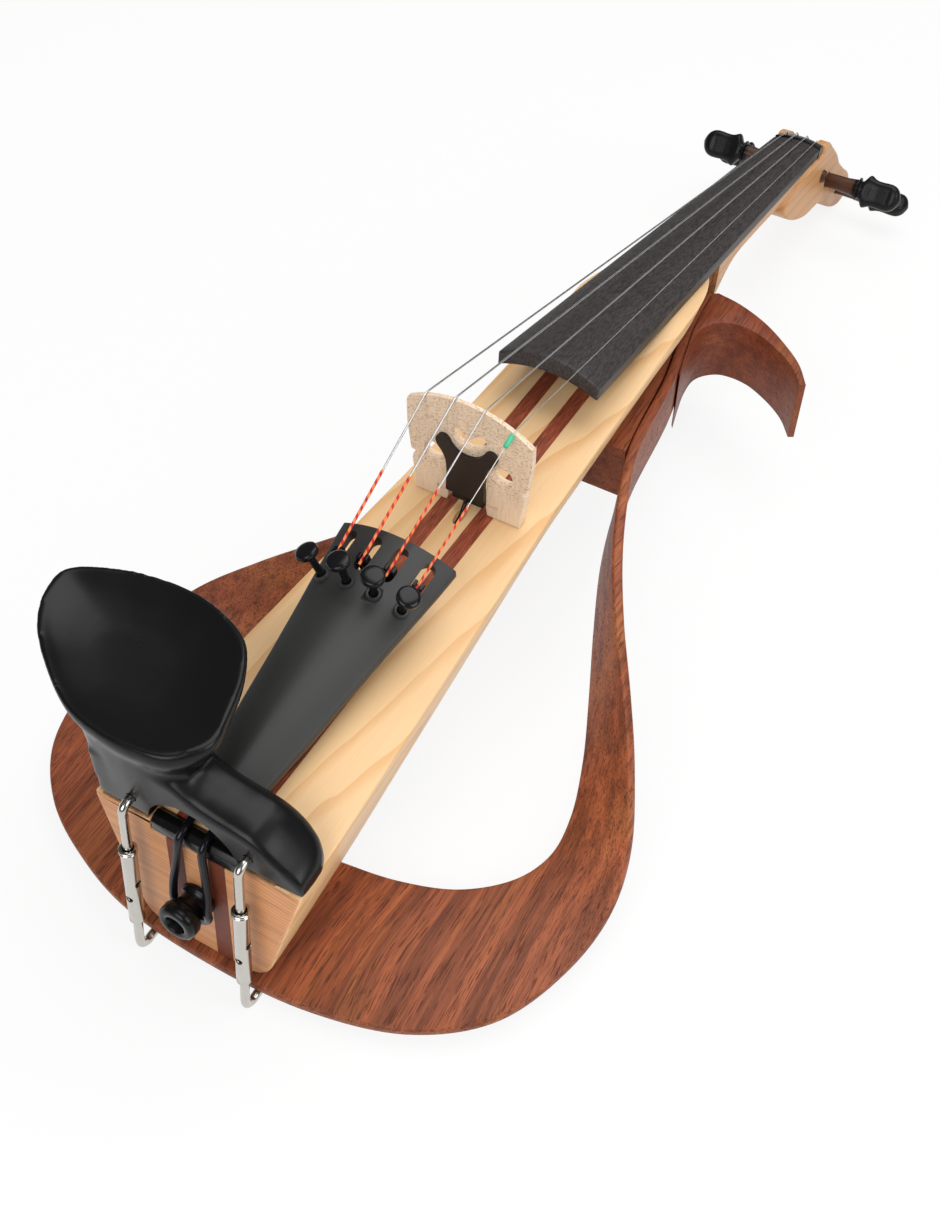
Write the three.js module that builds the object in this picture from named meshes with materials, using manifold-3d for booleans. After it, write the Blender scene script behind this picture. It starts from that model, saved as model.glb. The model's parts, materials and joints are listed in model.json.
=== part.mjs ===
// Electric violin: a laminated wedge-shaped body in an open walnut frame, full-size set-up.
// Millimetres. Inside the violin group x runs to the treble side, y to the pegbox and z out of
// the flat top; y is zero under the bridge and z is zero on the top. The whole violin is then
// laid on its back: the two chin rest clamps and the pegbox touch the ground at z zero.
import * as THREE from 'three';
import { mergeVertices } from 'three/addons/utils/BufferGeometryUtils.js';
import Module from 'manifold-3d';

const wasm = await Module();
wasm.setup();

// Driving dimensions: set-up
const stringLength = 336.6;
const bridgeHeight = 46.5;
const fingerboardShare = 0.818;
const neckShare = 0.417;
const fingerboardEndHeight = 24.8;
const fingerboardTilt = THREE.MathUtils.degToRad(11.34);
const fingerboardRadius = 42;

// Driving dimensions: body and frame
const behindBridge = 160;
const tailWidth = 75;
const tailDepth = 54;
const frameHalfWidth = 100;
const bandThickness = 4;
const stripeWidth = 6;
const stripeInner = 4.6;
const upstandThickness = 6.3;

// Shared fits
const gap = 0.3;
const runningGap = 0.35;
const overrun = 30;
const weld = 1e-4;

const X = new THREE.Vector3(1, 0, 0);
const Y = new THREE.Vector3(0, 1, 0);
const Z = new THREE.Vector3(0, 0, 1);
const vec = (x, y, z) => new THREE.Vector3(x, y, z);

// Materials
const finish = (color, roughness, metalness = 0) =>
  new THREE.MeshStandardMaterial({ color, roughness, metalness });
const maple = finish(0xe8c896, 0.45);
const neckMaple = finish(0xe3bd8c, 0.5);
const mahogany = finish(0x7c3f28, 0.5);
const walnut = finish(0x6e3320, 0.45);
const ebony = finish(0x1d1b1b, 0.4);
const blackPlastic = finish(0x202022, 0.45);
const blackSteel = finish(0x16161a, 0.25, 0.6);
const bridgeMaple = finish(0xdcc3a4, 0.6);
const steel = finish(0xb9bcc0, 0.3, 1);
const silver = finish(0xcfd2d6, 0.25, 1);
const nickel = finish(0xd2cfc8, 0.2, 1);
const cork = finish(0xa8794e, 0.9);
const gutBlack = finish(0x111114, 0.3);
const greenTube = finish(0x3fae7c, 0.5);

// Turns a closed geometry into a solid, and a solid into a geometry.
function solid(geometry) {
  const bare = new THREE.BufferGeometry();
  bare.setAttribute('position', geometry.getAttribute('position'));
  bare.setIndex(geometry.index);
  const merged = mergeVertices(bare, weld);
  return new wasm.Manifold(new wasm.Mesh({
    numProp: 3,
    vertProperties: new Float32Array(merged.getAttribute('position').array),
    triVerts: new Uint32Array(merged.index.array),
  }));
}

function geometry(body) {
  const mesh = body.getMesh();
  const result = new THREE.BufferGeometry();
  result.setAttribute('position', new THREE.BufferAttribute(mesh.vertProperties, 3));
  result.setIndex(new THREE.BufferAttribute(mesh.triVerts, 1));
  result.computeVertexNormals();
  return result;
}

const join = (first, ...rest) =>
  geometry(rest.reduce((body, next) => body.add(solid(next)), solid(first)));
const cut = (first, ...rest) =>
  geometry(rest.reduce((body, next) => body.subtract(solid(next)), solid(first)));

// Volume inside a triangle mesh; its sign tells which way the faces point.
function signedVolume(positions, index) {
  const corner = (i) => vec().fromArray(positions, index[i] * 3);
  let total = 0;
  for (let i = 0; i < index.length; i += 3) {
    total += corner(i).dot(corner(i + 1).cross(corner(i + 2)));
  }
  return total;
}

// A flat cap over a ring of points, as triangles of ring positions.
function capTriangles(ring) {
  const normal = vec(0, 0, 0);
  ring.forEach((point, i) => normal.add(point.clone().cross(ring[(i + 1) % ring.length])));
  normal.normalize();
  const side = Math.abs(normal.x) > Math.abs(normal.z) ? Z : X;
  const u = side.clone().cross(normal).normalize();
  const v = normal.clone().cross(u);
  const flat = ring.map((point) => new THREE.Vector2(point.dot(u), point.dot(v)));
  return THREE.ShapeUtils.triangulateShape(flat, []);
}

// A closed skin through rings of equally many points, with a flat cap on each end.
function loft(rings) {
  const count = rings[0].length;
  const positions = rings.flat().flatMap((point) => point.toArray());
  let index = [];
  for (let r = 0; r + 1 < rings.length; r += 1) {
    for (let i = 0; i < count; i += 1) {
      const next = (i + 1) % count;
      const [a, b] = [r * count + i, r * count + next];
      index.push(a, b, b + count, a, b + count, a + count);
    }
  }
  const last = (rings.length - 1) * count;
  capTriangles(rings[0]).forEach(([a, b, c]) => index.push(c, b, a));
  capTriangles(rings.at(-1)).forEach(([a, b, c]) => index.push(last + a, last + b, last + c));
  if (signedVolume(positions, index) < 0) {
    index = index.flatMap((_, i) => (i % 3 ? [] : [index[i], index[i + 2], index[i + 1]]));
  }
  const result = new THREE.BufferGeometry();
  result.setAttribute('position', new THREE.Float32BufferAttribute(positions, 3));
  result.setIndex(index);
  return result;
}

function box(x0, x1, y0, y1, z0, z1) {
  const shape = new THREE.BoxGeometry(x1 - x0, y1 - y0, z1 - z0);
  return shape.translate((x0 + x1) / 2, (y0 + y1) / 2, (z0 + z1) / 2);
}

const shapeOf = (points) => new THREE.Shape(points.map(([a, b]) => new THREE.Vector2(a, b)));

// An outline of [y, z] points, run across the violin from x0 to x1.
function acrossX(points, x0, x1) {
  const shape = new THREE.ExtrudeGeometry(shapeOf(points), { depth: x1 - x0, bevelEnabled: false });
  return shape.applyMatrix4(new THREE.Matrix4().makeBasis(Y, Z, X)).translate(x0, 0, 0);
}

// A shape in x and z, run along the violin from y0 back to y1.
function alongY(shape, y0, y1) {
  const result = new THREE.ExtrudeGeometry(shape, { depth: y0 - y1, bevelEnabled: false });
  const back = Y.clone().negate();
  return result.applyMatrix4(new THREE.Matrix4().makeBasis(X, Z, back)).translate(0, y0, 0);
}

// A turned piece from [radius, height] points that start on the axis or close on themselves;
// its axis is its own y.
function turned(points, sides = 20) {
  const profile = points.map(([r, h]) => new THREE.Vector2(r, h));
  if (points[0][0] > 0) profile.push(profile[0].clone());
  return new THREE.LatheGeometry(
    THREE.ShapeUtils.isClockWise(profile) ? profile.reverse() : profile, sides);
}

// The same turned piece, with its axis laid along a direction from a place.
function turnedAt(points, place, direction, sides = 20) {
  const turn = new THREE.Quaternion().setFromUnitVectors(Y, direction.clone().normalize());
  return turned(points, sides).applyQuaternion(turn).translate(place.x, place.y, place.z);
}

const rod = (radius, length) => [[0, 0], [radius, 0], [radius, length], [0, length]];

// A round cord or rod along a smooth curve through points.
function cord(points, radius, steps, sides = 8) {
  const ring = new THREE.Shape().absarc(0, 0, radius, 0, 2 * Math.PI);
  const outline = new THREE.Shape(ring.getPoints(sides / 2).slice(0, -1));
  const path = new THREE.CatmullRomCurve3(points, false, 'centripetal');
  return new THREE.ExtrudeGeometry(outline, { steps, extrudePath: path, bevelEnabled: false });
}

// A thin round wire that runs straight from point to point, or follows a list of close points.
function wire(points, radius, sides) {
  let side = null;
  const rings = points.map((point, i) => {
    const before = points[Math.max(i - 1, 0)];
    const after = points[Math.min(i + 1, points.length - 1)];
    const along = after.clone().sub(before).normalize();
    if (!side) side = Math.abs(along.x) < Math.SQRT1_2 ? X.clone() : Z.clone();
    side.addScaledVector(along, -side.dot(along)).normalize();
    const up = along.clone().cross(side);
    return Array.from({ length: sides }, (_, k) => {
      const angle = (k / sides) * 2 * Math.PI;
      return point.clone()
        .addScaledVector(side, radius * Math.cos(angle))
        .addScaledVector(up, radius * Math.sin(angle));
    });
  });
  return loft(rings);
}

// Straight-line reading of a table of [place, value] pairs.
function read(table, place) {
  const next = Math.max(1, table.findIndex(([at]) => at >= place));
  const upper = table.at(next === -1 ? -1 : next);
  const lower = table[table.indexOf(upper) - 1];
  const share = THREE.MathUtils.clamp((place - lower[0]) / (upper[0] - lower[0]), 0, 1);
  return THREE.MathUtils.lerp(lower[1], upper[1], share);
}

const violin = new THREE.Group();

function add(name, shape, material, parent = violin) {
  const mesh = new THREE.Mesh(shape, material);
  mesh.name = name;
  parent.add(mesh);
  return mesh;
}

function frameAt(place, tilt = 0, parent = violin) {
  const group = new THREE.Group();
  group.position.copy(place);
  group.rotation.x = tilt;
  parent.add(group);
  group.updateMatrix();
  return group;
}

// Places that follow from the set-up
const fingerboardLength = stringLength * fingerboardShare;
const neckLength = stringLength * neckShare;
const nutZ = fingerboardEndHeight - fingerboardLength * Math.sin(fingerboardTilt);
const nutY = Math.sqrt(stringLength ** 2 - (bridgeHeight - nutZ) ** 2);
const heelY = nutY - neckLength * Math.cos(fingerboardTilt);
const bodyFront = heelY - upstandThickness;
const neckFrame = frameAt(vec(0, nutY, nutZ), -fingerboardTilt);
const intoNeck = neckFrame.matrix.clone().invert();

// Fingerboard, in the neck's frame: s runs to the pegbox from the nut, z out of the board
const nutHalfWidth = 12;
const fingerboardEndHalfWidth = 21;
const fingerboardEdge = 4.8;
const fingerboardHollow = 4;

function fingerboardHalfWidth(s) {
  return THREE.MathUtils.lerp(nutHalfWidth, fingerboardEndHalfWidth, -s / fingerboardLength);
}

const crownDrop = (x) => fingerboardRadius - Math.sqrt(fingerboardRadius ** 2 - x ** 2);
const underAt = (half) => -crownDrop(half) - fingerboardEdge;
const fingerboardUnder = (s) => THREE.MathUtils.lerp(
  underAt(nutHalfWidth), underAt(fingerboardEndHalfWidth), Math.max(0, -s / fingerboardLength));

function fingerboardRing(s, hollow) {
  const half = fingerboardHalfWidth(s);
  const topShares = [1, 0.8, 0.6, 0.35, 0.1, -0.1, -0.35, -0.6, -0.8, -1];
  const underShares = [-1, -0.66, 0, 0.66, 1];
  const under = fingerboardUnder(s);
  const top = topShares.map((share) => vec(half * share, s, -crownDrop(half * share)));
  const base = underShares.map((share) => vec(half * share, s, under + hollow * (1 - share ** 2)));
  return [...top, ...base];
}

const overhangShares = [[-1, 1], [-0.62, 1], [-0.54, 0], [-0.27, 0], [0, 0]];
add('fingerboard', loft(overhangShares.map(([place, hollow]) =>
  fingerboardRing(place * fingerboardLength, hollow * fingerboardHollow))), ebony, neckFrame);

// The room that the board and the nut take out of the pieces under them
const nutLength = 5.5;
const fingerboardRoom = acrossX([
  [-fingerboardLength, fingerboardUnder(-fingerboardLength) - gap],
  [0, fingerboardUnder(0) - gap], [nutLength + gap, fingerboardUnder(0) - gap],
  [nutLength + gap, overrun], [-fingerboardLength, overrun]], -tailWidth, tailWidth);
const fingerboardRoomPlaced = fingerboardRoom.clone().applyMatrix4(neckFrame.matrix);

// Nut, just behind the board
const nutLift = 0.6;
const nutRing = (y) => [
  vec(-nutHalfWidth, y, fingerboardUnder(0)),
  ...[-1, -0.7, -0.35, 0, 0.35, 0.7, 1].map((share) =>
    vec(nutHalfWidth * share, y, nutLift - crownDrop(nutHalfWidth * share))),
  vec(nutHalfWidth, y, fingerboardUnder(0)),
];
add('nut', loft([nutRing(gap), nutRing(nutLength)]), ebony, neckFrame);

// Body section: a trapezoid whose sides lean in, with round bottom corners
const sideLean = 0.27;
const arris = 1.4;
const bottomRound = 9;
const bodyLength = behindBridge + bodyFront;
const halfWidthShares = [[0, 1], [0.523, 0.733], [0.785, 0.667], [0.881, 0.656], [0.93, 0.615],
  [0.965, 0.55], [0.99, 0.48], [1, 0.42]];
const depthShares = [[0, 1], [0.116, 1], [0.49, 0.39], [1, 0.39]];
const tailLean = 0.106;
const frontLean = 0.35;
const frontLeanFrom = 0.881;

const bodyShare = (y) => (y + behindBridge) / bodyLength;
const bodyHalfWidth = (y) => (tailWidth / 2) * read(halfWidthShares, bodyShare(y));
const bodyDepth = (y) => tailDepth * read(depthShares, bodyShare(y));

// Half of a section from the top middle to the bottom middle, as [x, z] pairs.
function bodyHalfSection(y) {
  const half = bodyHalfWidth(y);
  const depth = bodyDepth(y);
  const round = Math.min(bottomRound, depth * 0.35);
  const foot = half - depth * sideLean;
  const corner = new THREE.QuadraticBezierCurve(
    new THREE.Vector2(foot + round * sideLean, round - depth),
    new THREE.Vector2(foot, -depth),
    new THREE.Vector2(foot - round, -depth),
  ).getPoints(5).map((point) => [point.x, point.y]);
  return [[half - arris, 0], [half - arris * sideLean, -arris], ...corner];
}

function bodyRing(share) {
  const y = share * bodyLength - behindBridge;
  const lean = share === 0 ? tailLean
    : frontLean * Math.max(0, (share - frontLeanFrom) / (1 - frontLeanFrom));
  const half = bodyHalfSection(y);
  const whole = [...half, ...half.toReversed().map(([x, z]) => [-x, z])];
  return whole.map(([x, z]) => vec(x, y + lean * z, z));
}

const bodyStations = [0, 0.03, 0.116, 0.3, 0.49, 0.523, 0.65, 0.785, 0.881, 0.93, 0.965, 0.99, 1];
let bodySolid = solid(loft(bodyStations.map(bodyRing)));
const carve = (shape) => { bodySolid = bodySolid.subtract(solid(shape)); };

// The neck's board lies into the front of the body and stays clear of its top.
const boardRelief = 2.1;
carve(fingerboardRoom.clone().translate(0, 0, -boardRelief).applyMatrix4(neckFrame.matrix));

// Saddle, let into the tail edge of the top
const saddleWidth = 32;
const saddleLength = 5.5;
const saddleSink = 4;
const saddleProud = 1.6;
const saddleFront = saddleLength - behindBridge;
const tailPlane = (z) => tailLean * z - behindBridge;
carve(box(-saddleWidth / 2 - gap, saddleWidth / 2 + gap,
  -behindBridge - overrun, saddleFront + gap, -saddleSink - gap, overrun));
const saddleProfile = [
  [tailPlane(-saddleSink), -saddleSink], [saddleFront, -saddleSink], [saddleFront, 0],
  [saddleFront - saddleProud, saddleProud], [tailPlane(0) + saddleProud, saddleProud],
  [tailPlane(0), 0],
];
add('saddle', acrossX(saddleProfile, -saddleWidth / 2, saddleWidth / 2), ebony);

// End button, square to the leaning tail face
const buttonDepth = 26;
const buttonShaft = 3.8;
const buttonShaftLength = 24;
const buttonRadius = 6.6;
const buttonBore = 3.4;
const buttonLength = 12.5;
const buttonOut = vec(0, -1, tailLean).normalize();
const buttonSeat = vec(0, tailPlane(-buttonDepth), -buttonDepth);
carve(turnedAt(rod(buttonShaft + gap, buttonShaftLength + gap + overrun),
  buttonSeat.clone().addScaledVector(buttonOut, -buttonShaftLength - gap), buttonOut));
const grooveRadius = 4.6;
const collarRadius = 6;
const buttonProfile = [
  [0, -buttonShaftLength], [buttonShaft * 0.85, -buttonShaftLength], [buttonShaft, 0],
  [buttonShaft, gap], [collarRadius, gap], [collarRadius, gap + buttonLength * 0.14],
  [grooveRadius, buttonLength * 0.2], [grooveRadius, buttonLength * 0.5],
  [buttonRadius, buttonLength * 0.6], [buttonRadius, buttonLength * 0.9],
  [buttonRadius * 0.85, buttonLength], [buttonBore, buttonLength],
  [buttonBore * 0.8, buttonLength * 0.55], [0, buttonLength * 0.5],
];
add('end_button', turnedAt(buttonProfile, buttonSeat, buttonOut), ebony);

// Controls on the sloping underside: a cavity, its cover, the volume control and the socket
const controlShare = 0.225;
const [slopeFrom, slopeTo] = depthShares.slice(1);
const controlSlope = Math.atan2(
  tailDepth * (slopeFrom[1] - slopeTo[1]), bodyLength * (slopeTo[0] - slopeFrom[0]));
const controlY = controlShare * bodyLength - behindBridge;
const controlFrame = frameAt(vec(0, controlY, -bodyDepth(controlY)), controlSlope);
const coverWidth = 25;
const coverLength = 64;
const coverThickness = 2;
const coverLip = 3;
const cavityDepth = 27;
const controlCavity = box(-coverWidth / 2 + coverLip, coverWidth / 2 - coverLip,
  -coverLength / 2 + coverLip * 3, coverLength / 2 - coverLip * 3, -overrun, cavityDepth);
const coverRecess = box(-coverWidth / 2 - gap, coverWidth / 2 + gap,
  -coverLength / 2 - gap, coverLength / 2 + gap, -overrun, coverThickness + gap);
carve(controlCavity.applyMatrix4(controlFrame.matrix));
carve(coverRecess.applyMatrix4(controlFrame.matrix));

const potPlace = coverLength * 0.2;
const jackPlace = -coverLength * 0.19;
const potShaft = 3;
const potRadius = 8;
const potHeight = 8;
const potBushing = 4;
const jackOuter = 5.6;
const jackBore = 3.5;
const jackLength = 22;
const jackFlange = 7.2;
const jackProud = 1.2;
const coverScrewRadius = 1.3;
const coverScrewHead = 2.4;
const coverScrewLength = 11;
const coverScrewPlace = coverLength / 2 - coverLip;
const screwCutter = (radius, head, length) => [[0, -overrun], [head, -overrun], [head, 0],
  [radius, head - radius], [radius, length], [0, length]];
const screwProfile = (radius, head, length) => [[0, 0], [head, 0], [radius, head - radius],
  [radius, length - radius], [0, length]];
const upAt = (y) => vec(0, y, 0);
const screwPlaces = [-coverScrewPlace, coverScrewPlace];
const coverHoles = [
  turnedAt(rod(potBushing + gap, overrun), vec(0, potPlace, -overrun / 2), Z),
  turnedAt(rod(jackOuter + gap, overrun), vec(0, jackPlace, -overrun / 2), Z),
  ...screwPlaces.map((y) => turnedAt(
    screwCutter(coverScrewRadius + gap, coverScrewHead + gap, overrun), upAt(y), Z, 16)),
];
const coverSheet = box(-coverWidth / 2, coverWidth / 2, -coverLength / 2, coverLength / 2,
  0, coverThickness);
add('control_cover', cut(coverSheet, ...coverHoles), blackPlastic, controlFrame);
screwPlaces.forEach((y, i) => {
  carve(turnedAt(rod(coverScrewRadius + gap / 2, coverScrewLength + gap), upAt(y), Z, 16)
    .applyMatrix4(controlFrame.matrix));
  add(`control_cover_screw_${i + 1}`, turnedAt(
    screwProfile(coverScrewRadius, coverScrewHead, coverScrewLength), upAt(y), Z, 16),
  blackSteel, controlFrame);
});

const potTop = coverThickness + gap;
const potShaftReach = 7;
const potProfile = [
  [0, -potShaftReach], [potShaft, -potShaftReach], [potShaft, -gap], [potBushing, -gap],
  [potBushing, potTop], [potRadius, potTop], [potRadius, potTop + potHeight],
  [0, potTop + potHeight],
];
const potMesh = add('volume_control', turned(potProfile), steel, controlFrame);
potMesh.rotation.x = Math.PI / 2;
potMesh.position.y = potPlace;

const knobStandoff = 1;
const knobHeight = 8;
const knobRadius = 7;
const knobSkirt = 7.6;
const knobSkirtHeight = 1.4;
const pointerWidth = 1;
const pointerDepth = 0.8;
const knobEnd = -knobStandoff - knobHeight;
const knobProfile = [
  [potShaft + gap, -knobStandoff], [knobSkirt, -knobStandoff],
  [knobSkirt, -knobStandoff - knobSkirtHeight], [knobRadius, -knobStandoff - knobSkirtHeight * 1.4],
  [knobRadius * 0.93, knobEnd], [0, knobEnd], [0, -potShaftReach - gap],
  [potShaft + gap, -potShaftReach - gap],
];
const knobPointer = box(-pointerWidth / 2, pointerWidth / 2,
  knobEnd - overrun, knobEnd + pointerDepth, 0, knobRadius * 0.8);
const knobMesh = add('volume_knob', cut(turned(knobProfile, 30), knobPointer),
  blackPlastic, controlFrame);
knobMesh.rotation.x = Math.PI / 2;
knobMesh.position.y = potPlace;

const jackNutWall = 2.4;
const jackNut = jackOuter + jackNutWall;
const jackNutHeight = 2.4;
const jackProfile = [
  [jackBore, -jackProud], [jackFlange, -jackProud], [jackFlange, -gap], [jackOuter, -gap],
  [jackOuter, potTop], [jackNut, potTop], [jackNut, potTop + jackNutHeight],
  [jackOuter, potTop + jackNutHeight], [jackOuter, jackLength], [0, jackLength],
  [0, jackLength - jackProud], [jackBore, jackLength - jackProud],
];
const jackSolid = turnedAt(jackProfile, vec(0, jackPlace, 0), Z);
add('jack_socket', jackSolid, nickel, controlFrame);

// Bored way for the pickup lead, from the top behind the bridge into the cavity
const leadRadius = 0.8;
const leadBore = 1.8;
const leadSetback = 6.5;
const leadEntry = vec(0, -leadSetback, 0);
const cavityFront = coverLength / 2 - coverLip * 3;
const leadExit = vec(0, cavityFront - coverLip, cavityDepth * 0.6).applyMatrix4(controlFrame.matrix);
const leadWay = leadExit.clone().sub(leadEntry);
const leadAlong = leadWay.clone().normalize();
carve(turnedAt(rod(leadBore, leadWay.length() + leadSetback),
  leadEntry.clone().addScaledVector(leadAlong, -leadSetback), leadAlong, 12));

// Frame: one bent walnut band. Each row is a place along its upper edge, then its lower edge:
// x as a share of the half width, y of the length behind or before the bridge, z of the drop.
const bandDrop = tailDepth + gap + bandThickness / 2;
const loopShares = [
  [0.125, 0.985, 0.46, 0.125, 0.985, 0.885],
  [0.153, 0.848, 0.434, 0.153, 0.848, 0.867],
  [0.182, 0.775, 0.407, 0.184, 0.775, 0.85],
  [0.24, 0.635, 0.38, 0.24, 0.635, 0.823],
  [0.302, 0.39, 0.354, 0.29, 0.405, 0.814],
  [0.38, 0.26, 0.389, 0.32, 0.317, 0.84],
  [0.485, 0.13, 0.46, 0.385, 0.198, 0.885],
  [0.61, 0.01, 0.549, 0.5, 0.047, 0.92],
  [0.76, -0.138, 0.62, 0.62, -0.119, 0.938],
  [0.9, -0.287, 0.708, 0.72, -0.275, 0.956],
  [1.02, -0.444, 0.85, 0.78, -0.412, 0.973],
  [1.055, -0.575, 0.938, 0.785, -0.506, 0.991],
  [1.02, -0.719, 0.991, 0.73, -0.588, 1],
  [0.91, -0.875, 1, 0.59, -0.669, 1],
  [0.7, -0.981, 1, 0.4, -0.716, 1],
  [0.38, -1.041, 1, 0.2, -0.738, 1],
  [0, -1.056, 1, 0, -0.75, 1],
  [-0.33, -1.041, 1, -0.2, -0.744, 1],
  [-0.55, -1, 1, -0.38, -0.712, 1],
  [-0.78, -0.925, 1, -0.52, -0.65, 1],
  [-0.94, -0.812, 0.991, -0.61, -0.569, 1],
  [-1, -0.656, 0.956, -0.64, -0.481, 0.991],
  [-0.98, -0.487, 0.885, -0.63, -0.394, 0.973],
  [-0.87, -0.325, 0.779, -0.57, -0.306, 0.956],
  [-0.72, -0.219, 0.673, -0.49, -0.219, 0.938],
  [-0.56, -0.125, 0.584, -0.4, -0.137, 0.912],
  [-0.4, -0.031, 0.513, -0.29, -0.05, 0.885],
  [-0.24, 0.057, 0.478, -0.17, 0.042, 0.867],
  [-0.1, 0.151, 0.46, -0.07, 0.135, 0.85],
  [0.01, 0.26, 0.451, 0.01, 0.26, 0.841],
  [0.055, 0.375, 0.451, 0.055, 0.375, 0.841],
];
const alongBody = (share) => share * (share < 0 ? behindBridge : heelY);
const loopPoint = (row, from) =>
  vec(row[from] * frameHalfWidth, alongBody(row[from + 1]), -row[from + 2] * bandDrop);
const upperEdge = new THREE.CatmullRomCurve3(loopShares.map((row) => loopPoint(row, 0)));
const lowerEdge = new THREE.CatmullRomCurve3(loopShares.map((row) => loopPoint(row, 3)));

// The four corners of the band at a place from 0 to 1 along it.
function bandRing(place) {
  const upper = upperEdge.getPoint(place);
  const lower = lowerEdge.getPoint(place);
  const along = upperEdge.getTangent(place).add(lowerEdge.getTangent(place));
  const out = along.cross(upper.clone().sub(lower)).setLength(bandThickness / 2);
  return [upper.clone().add(out), lower.clone().add(out), lower.sub(out), upper.sub(out)];
}

const bandSteps = (loopShares.length - 1) * 3;
const bandPlaces = Array.from({ length: bandSteps + 1 }, (_, i) => i / bandSteps);
const loopBlank = loft(bandPlaces.map(bandRing));

// Two screws fix the band under the tail of the body.
const frameScrewHalf = 14;
const frameScrewShare = 0.9;
const frameScrewRadius = 2;
const frameScrewHead = 3.8;
const frameScrewLength = 24;
const frameScrewPlaces = [-1, 1].map((side) => vec(
  side * frameScrewHalf, -behindBridge * frameScrewShare, -bandDrop - bandThickness / 2));
add('frame_loop', cut(loopBlank, ...frameScrewPlaces.map((place) => turnedAt(
  screwCutter(frameScrewRadius + gap, frameScrewHead + gap, overrun), place, Z, 16))), walnut);
frameScrewPlaces.forEach((place, i) => {
  carve(turnedAt(rod(frameScrewRadius + gap / 2, frameScrewLength + gap), place, Z, 16));
  add(`frame_screw_${i + 1}`, turnedAt(
    screwProfile(frameScrewRadius, frameScrewHead, frameScrewLength), place, Z, 16), blackSteel);
});

// Neck block: a walnut filler under the front of the body, inside the band, up to the neck
const blockFromShare = 0.385;
const blockBottomShare = 0.823;
const blockHalf = 13;
const blockFrom = blockFromShare * heelY;
const blockBottom = -blockBottomShare * bandDrop;
const blockTop = -bodyDepth(bodyFront) - gap;
const stripRows = loopShares.filter(([x, y]) => x > loopShares[0][0] / 2 && y > 0);
const stripEnd = (stripRows.length - 1) / (loopShares.length - 1);
const stripPlaces = Array.from({ length: 25 }, (_, i) => (i / 24) * stripEnd);
const stripMiddles = stripPlaces.map((place) => upperEdge.getPoint(place))
  .filter((point) => point.y > blockFrom);
const blockSide = stripMiddles.map((point) => [point.x - bandThickness / 2 - gap * 2, point.y]);
const blockPlan = [
  ...blockSide.map(([x, y]) => [x, Math.min(y, heelY - gap)]),
  [blockSide.at(-1)[0], blockFrom], [-blockHalf, blockFrom],
  [-blockHalf, heelY - gap], [blockSide[0][0], heelY - gap],
];
const blockBase = new THREE.ExtrudeGeometry(shapeOf(blockPlan),
  { depth: blockTop - blockBottom, bevelEnabled: false }).translate(0, 0, blockBottom);
const upstandProfile = [
  [heelY - gap, blockTop - gap], [heelY - gap, 0], [bodyFront + gap, 0],
  [bodyFront + frontLean * blockTop + gap * 2, blockTop - gap],
];
const upstand = cut(acrossX(upstandProfile, -blockHalf, blockHalf), fingerboardRoomPlaced);
add('neck_block', join(blockBase, upstand), walnut);

// Upper horn on the treble side: a carved crescent, outer side first, then the inner side.
const hornShares = [
  [0.152, 0.986], [0.17, 0.993], [0.282, 0.98], [0.426, 0.946], [0.568, 0.892],
  [0.656, 0.848], [0.726, 0.793], [0.703, 0.786],
  [0.627, 0.836], [0.515, 0.879], [0.403, 0.905], [0.296, 0.905], [0.24, 0.886],
  [0.205, 0.855], [0.205, 0.8], [0.225, 0.745], [0.255, 0.68],
];
const hornTopShare = 0.46;
const hornBottomShare = 0.98;
const hornTop = -hornTopShare * bandDrop;
const hornBottom = -hornBottomShare * bandDrop;
const hornOutline = hornShares.map(([x, y]) => [x * frameHalfWidth, y * heelY]);
const stripOuter = (place) => bandRing(place)
  .reduce((best, corner) => (corner.x > best.x ? corner : best));
const hornPlan = [
  ...hornOutline,
  ...stripPlaces.map(stripOuter).filter((point) => point.y > hornOutline.at(-1)[1])
    .toReversed().map((point) => [point.x + gap, point.y]),
];
const hornBlank = new THREE.ExtrudeGeometry(shapeOf(hornPlan),
  { depth: hornTop - hornBottom, bevelEnabled: false }).translate(0, 0, hornBottom);
add('frame_horn', hornBlank, walnut);

// Neck: its shaft and heel by sections, then the pegbox with its trough and peg bores
const neckThickness = 20;
const neckShares = [[-1.16, 1.27, 2.2], [-0.97, 1.25, 2.2], [-0.915, 1.2, 2], [-0.86, 1.17, 1.55],
  [-0.81, 1.15, 1.25], [-0.73, 1.13, 1.09], [-0.57, 1.08, 1.04], [-0.35, 1.02, 1],
  [-0.15, 0.98, 0.975], [0, 0.97, 0.975]];
const neckRoundShares = [[1, 0], [0.99, 0.3], [0.93, 0.6], [0.77, 0.84], [0.5, 0.96], [0.2, 1]];
function neckRing([lengthShare, widthShare, depthShare]) {
  const s = lengthShare * neckLength;
  const half = Math.min(widthShare * nutHalfWidth, fingerboardHalfWidth(s));
  const top = fingerboardUnder(s) - gap;
  const deep = -depthShare * neckThickness - top;
  const right = neckRoundShares.map(([x, z]) => vec(x * half, s, top + z * deep));
  return [...right, ...right.toReversed().map((point) => vec(-point.x, point.y, point.z))];
}
const headLength = 82;
const headDrop = 54;
const headMargin = 1;
const headHalfWidth = nutHalfWidth + headMargin;
const cheek = 5.2;
const headShares = [
  [-0.02, 0.14], [0.08, 0.13], [0.1, 0.03], [0.18, 0.04], [0.29, 0.13], [0.48, 0.3], [0.58, 0.42],
  [0.66, 0.49], [0.78, 0.585], [0.93, 0.7], [1, 0.82], [0.985, 0.94], [0.9, 1],
  [0.75, 0.975], [0.55, 0.87], [0.4, 0.75], [0.31, 0.705], [0.19, 0.7], [0.03, 0.7],
  [-0.2, 0.62], [-0.4, 0.5], [-0.52, 0.37], [-0.5, 0.3],
];
const headPoint = ([s, d]) => [s * headLength, -d * headDrop];
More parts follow.
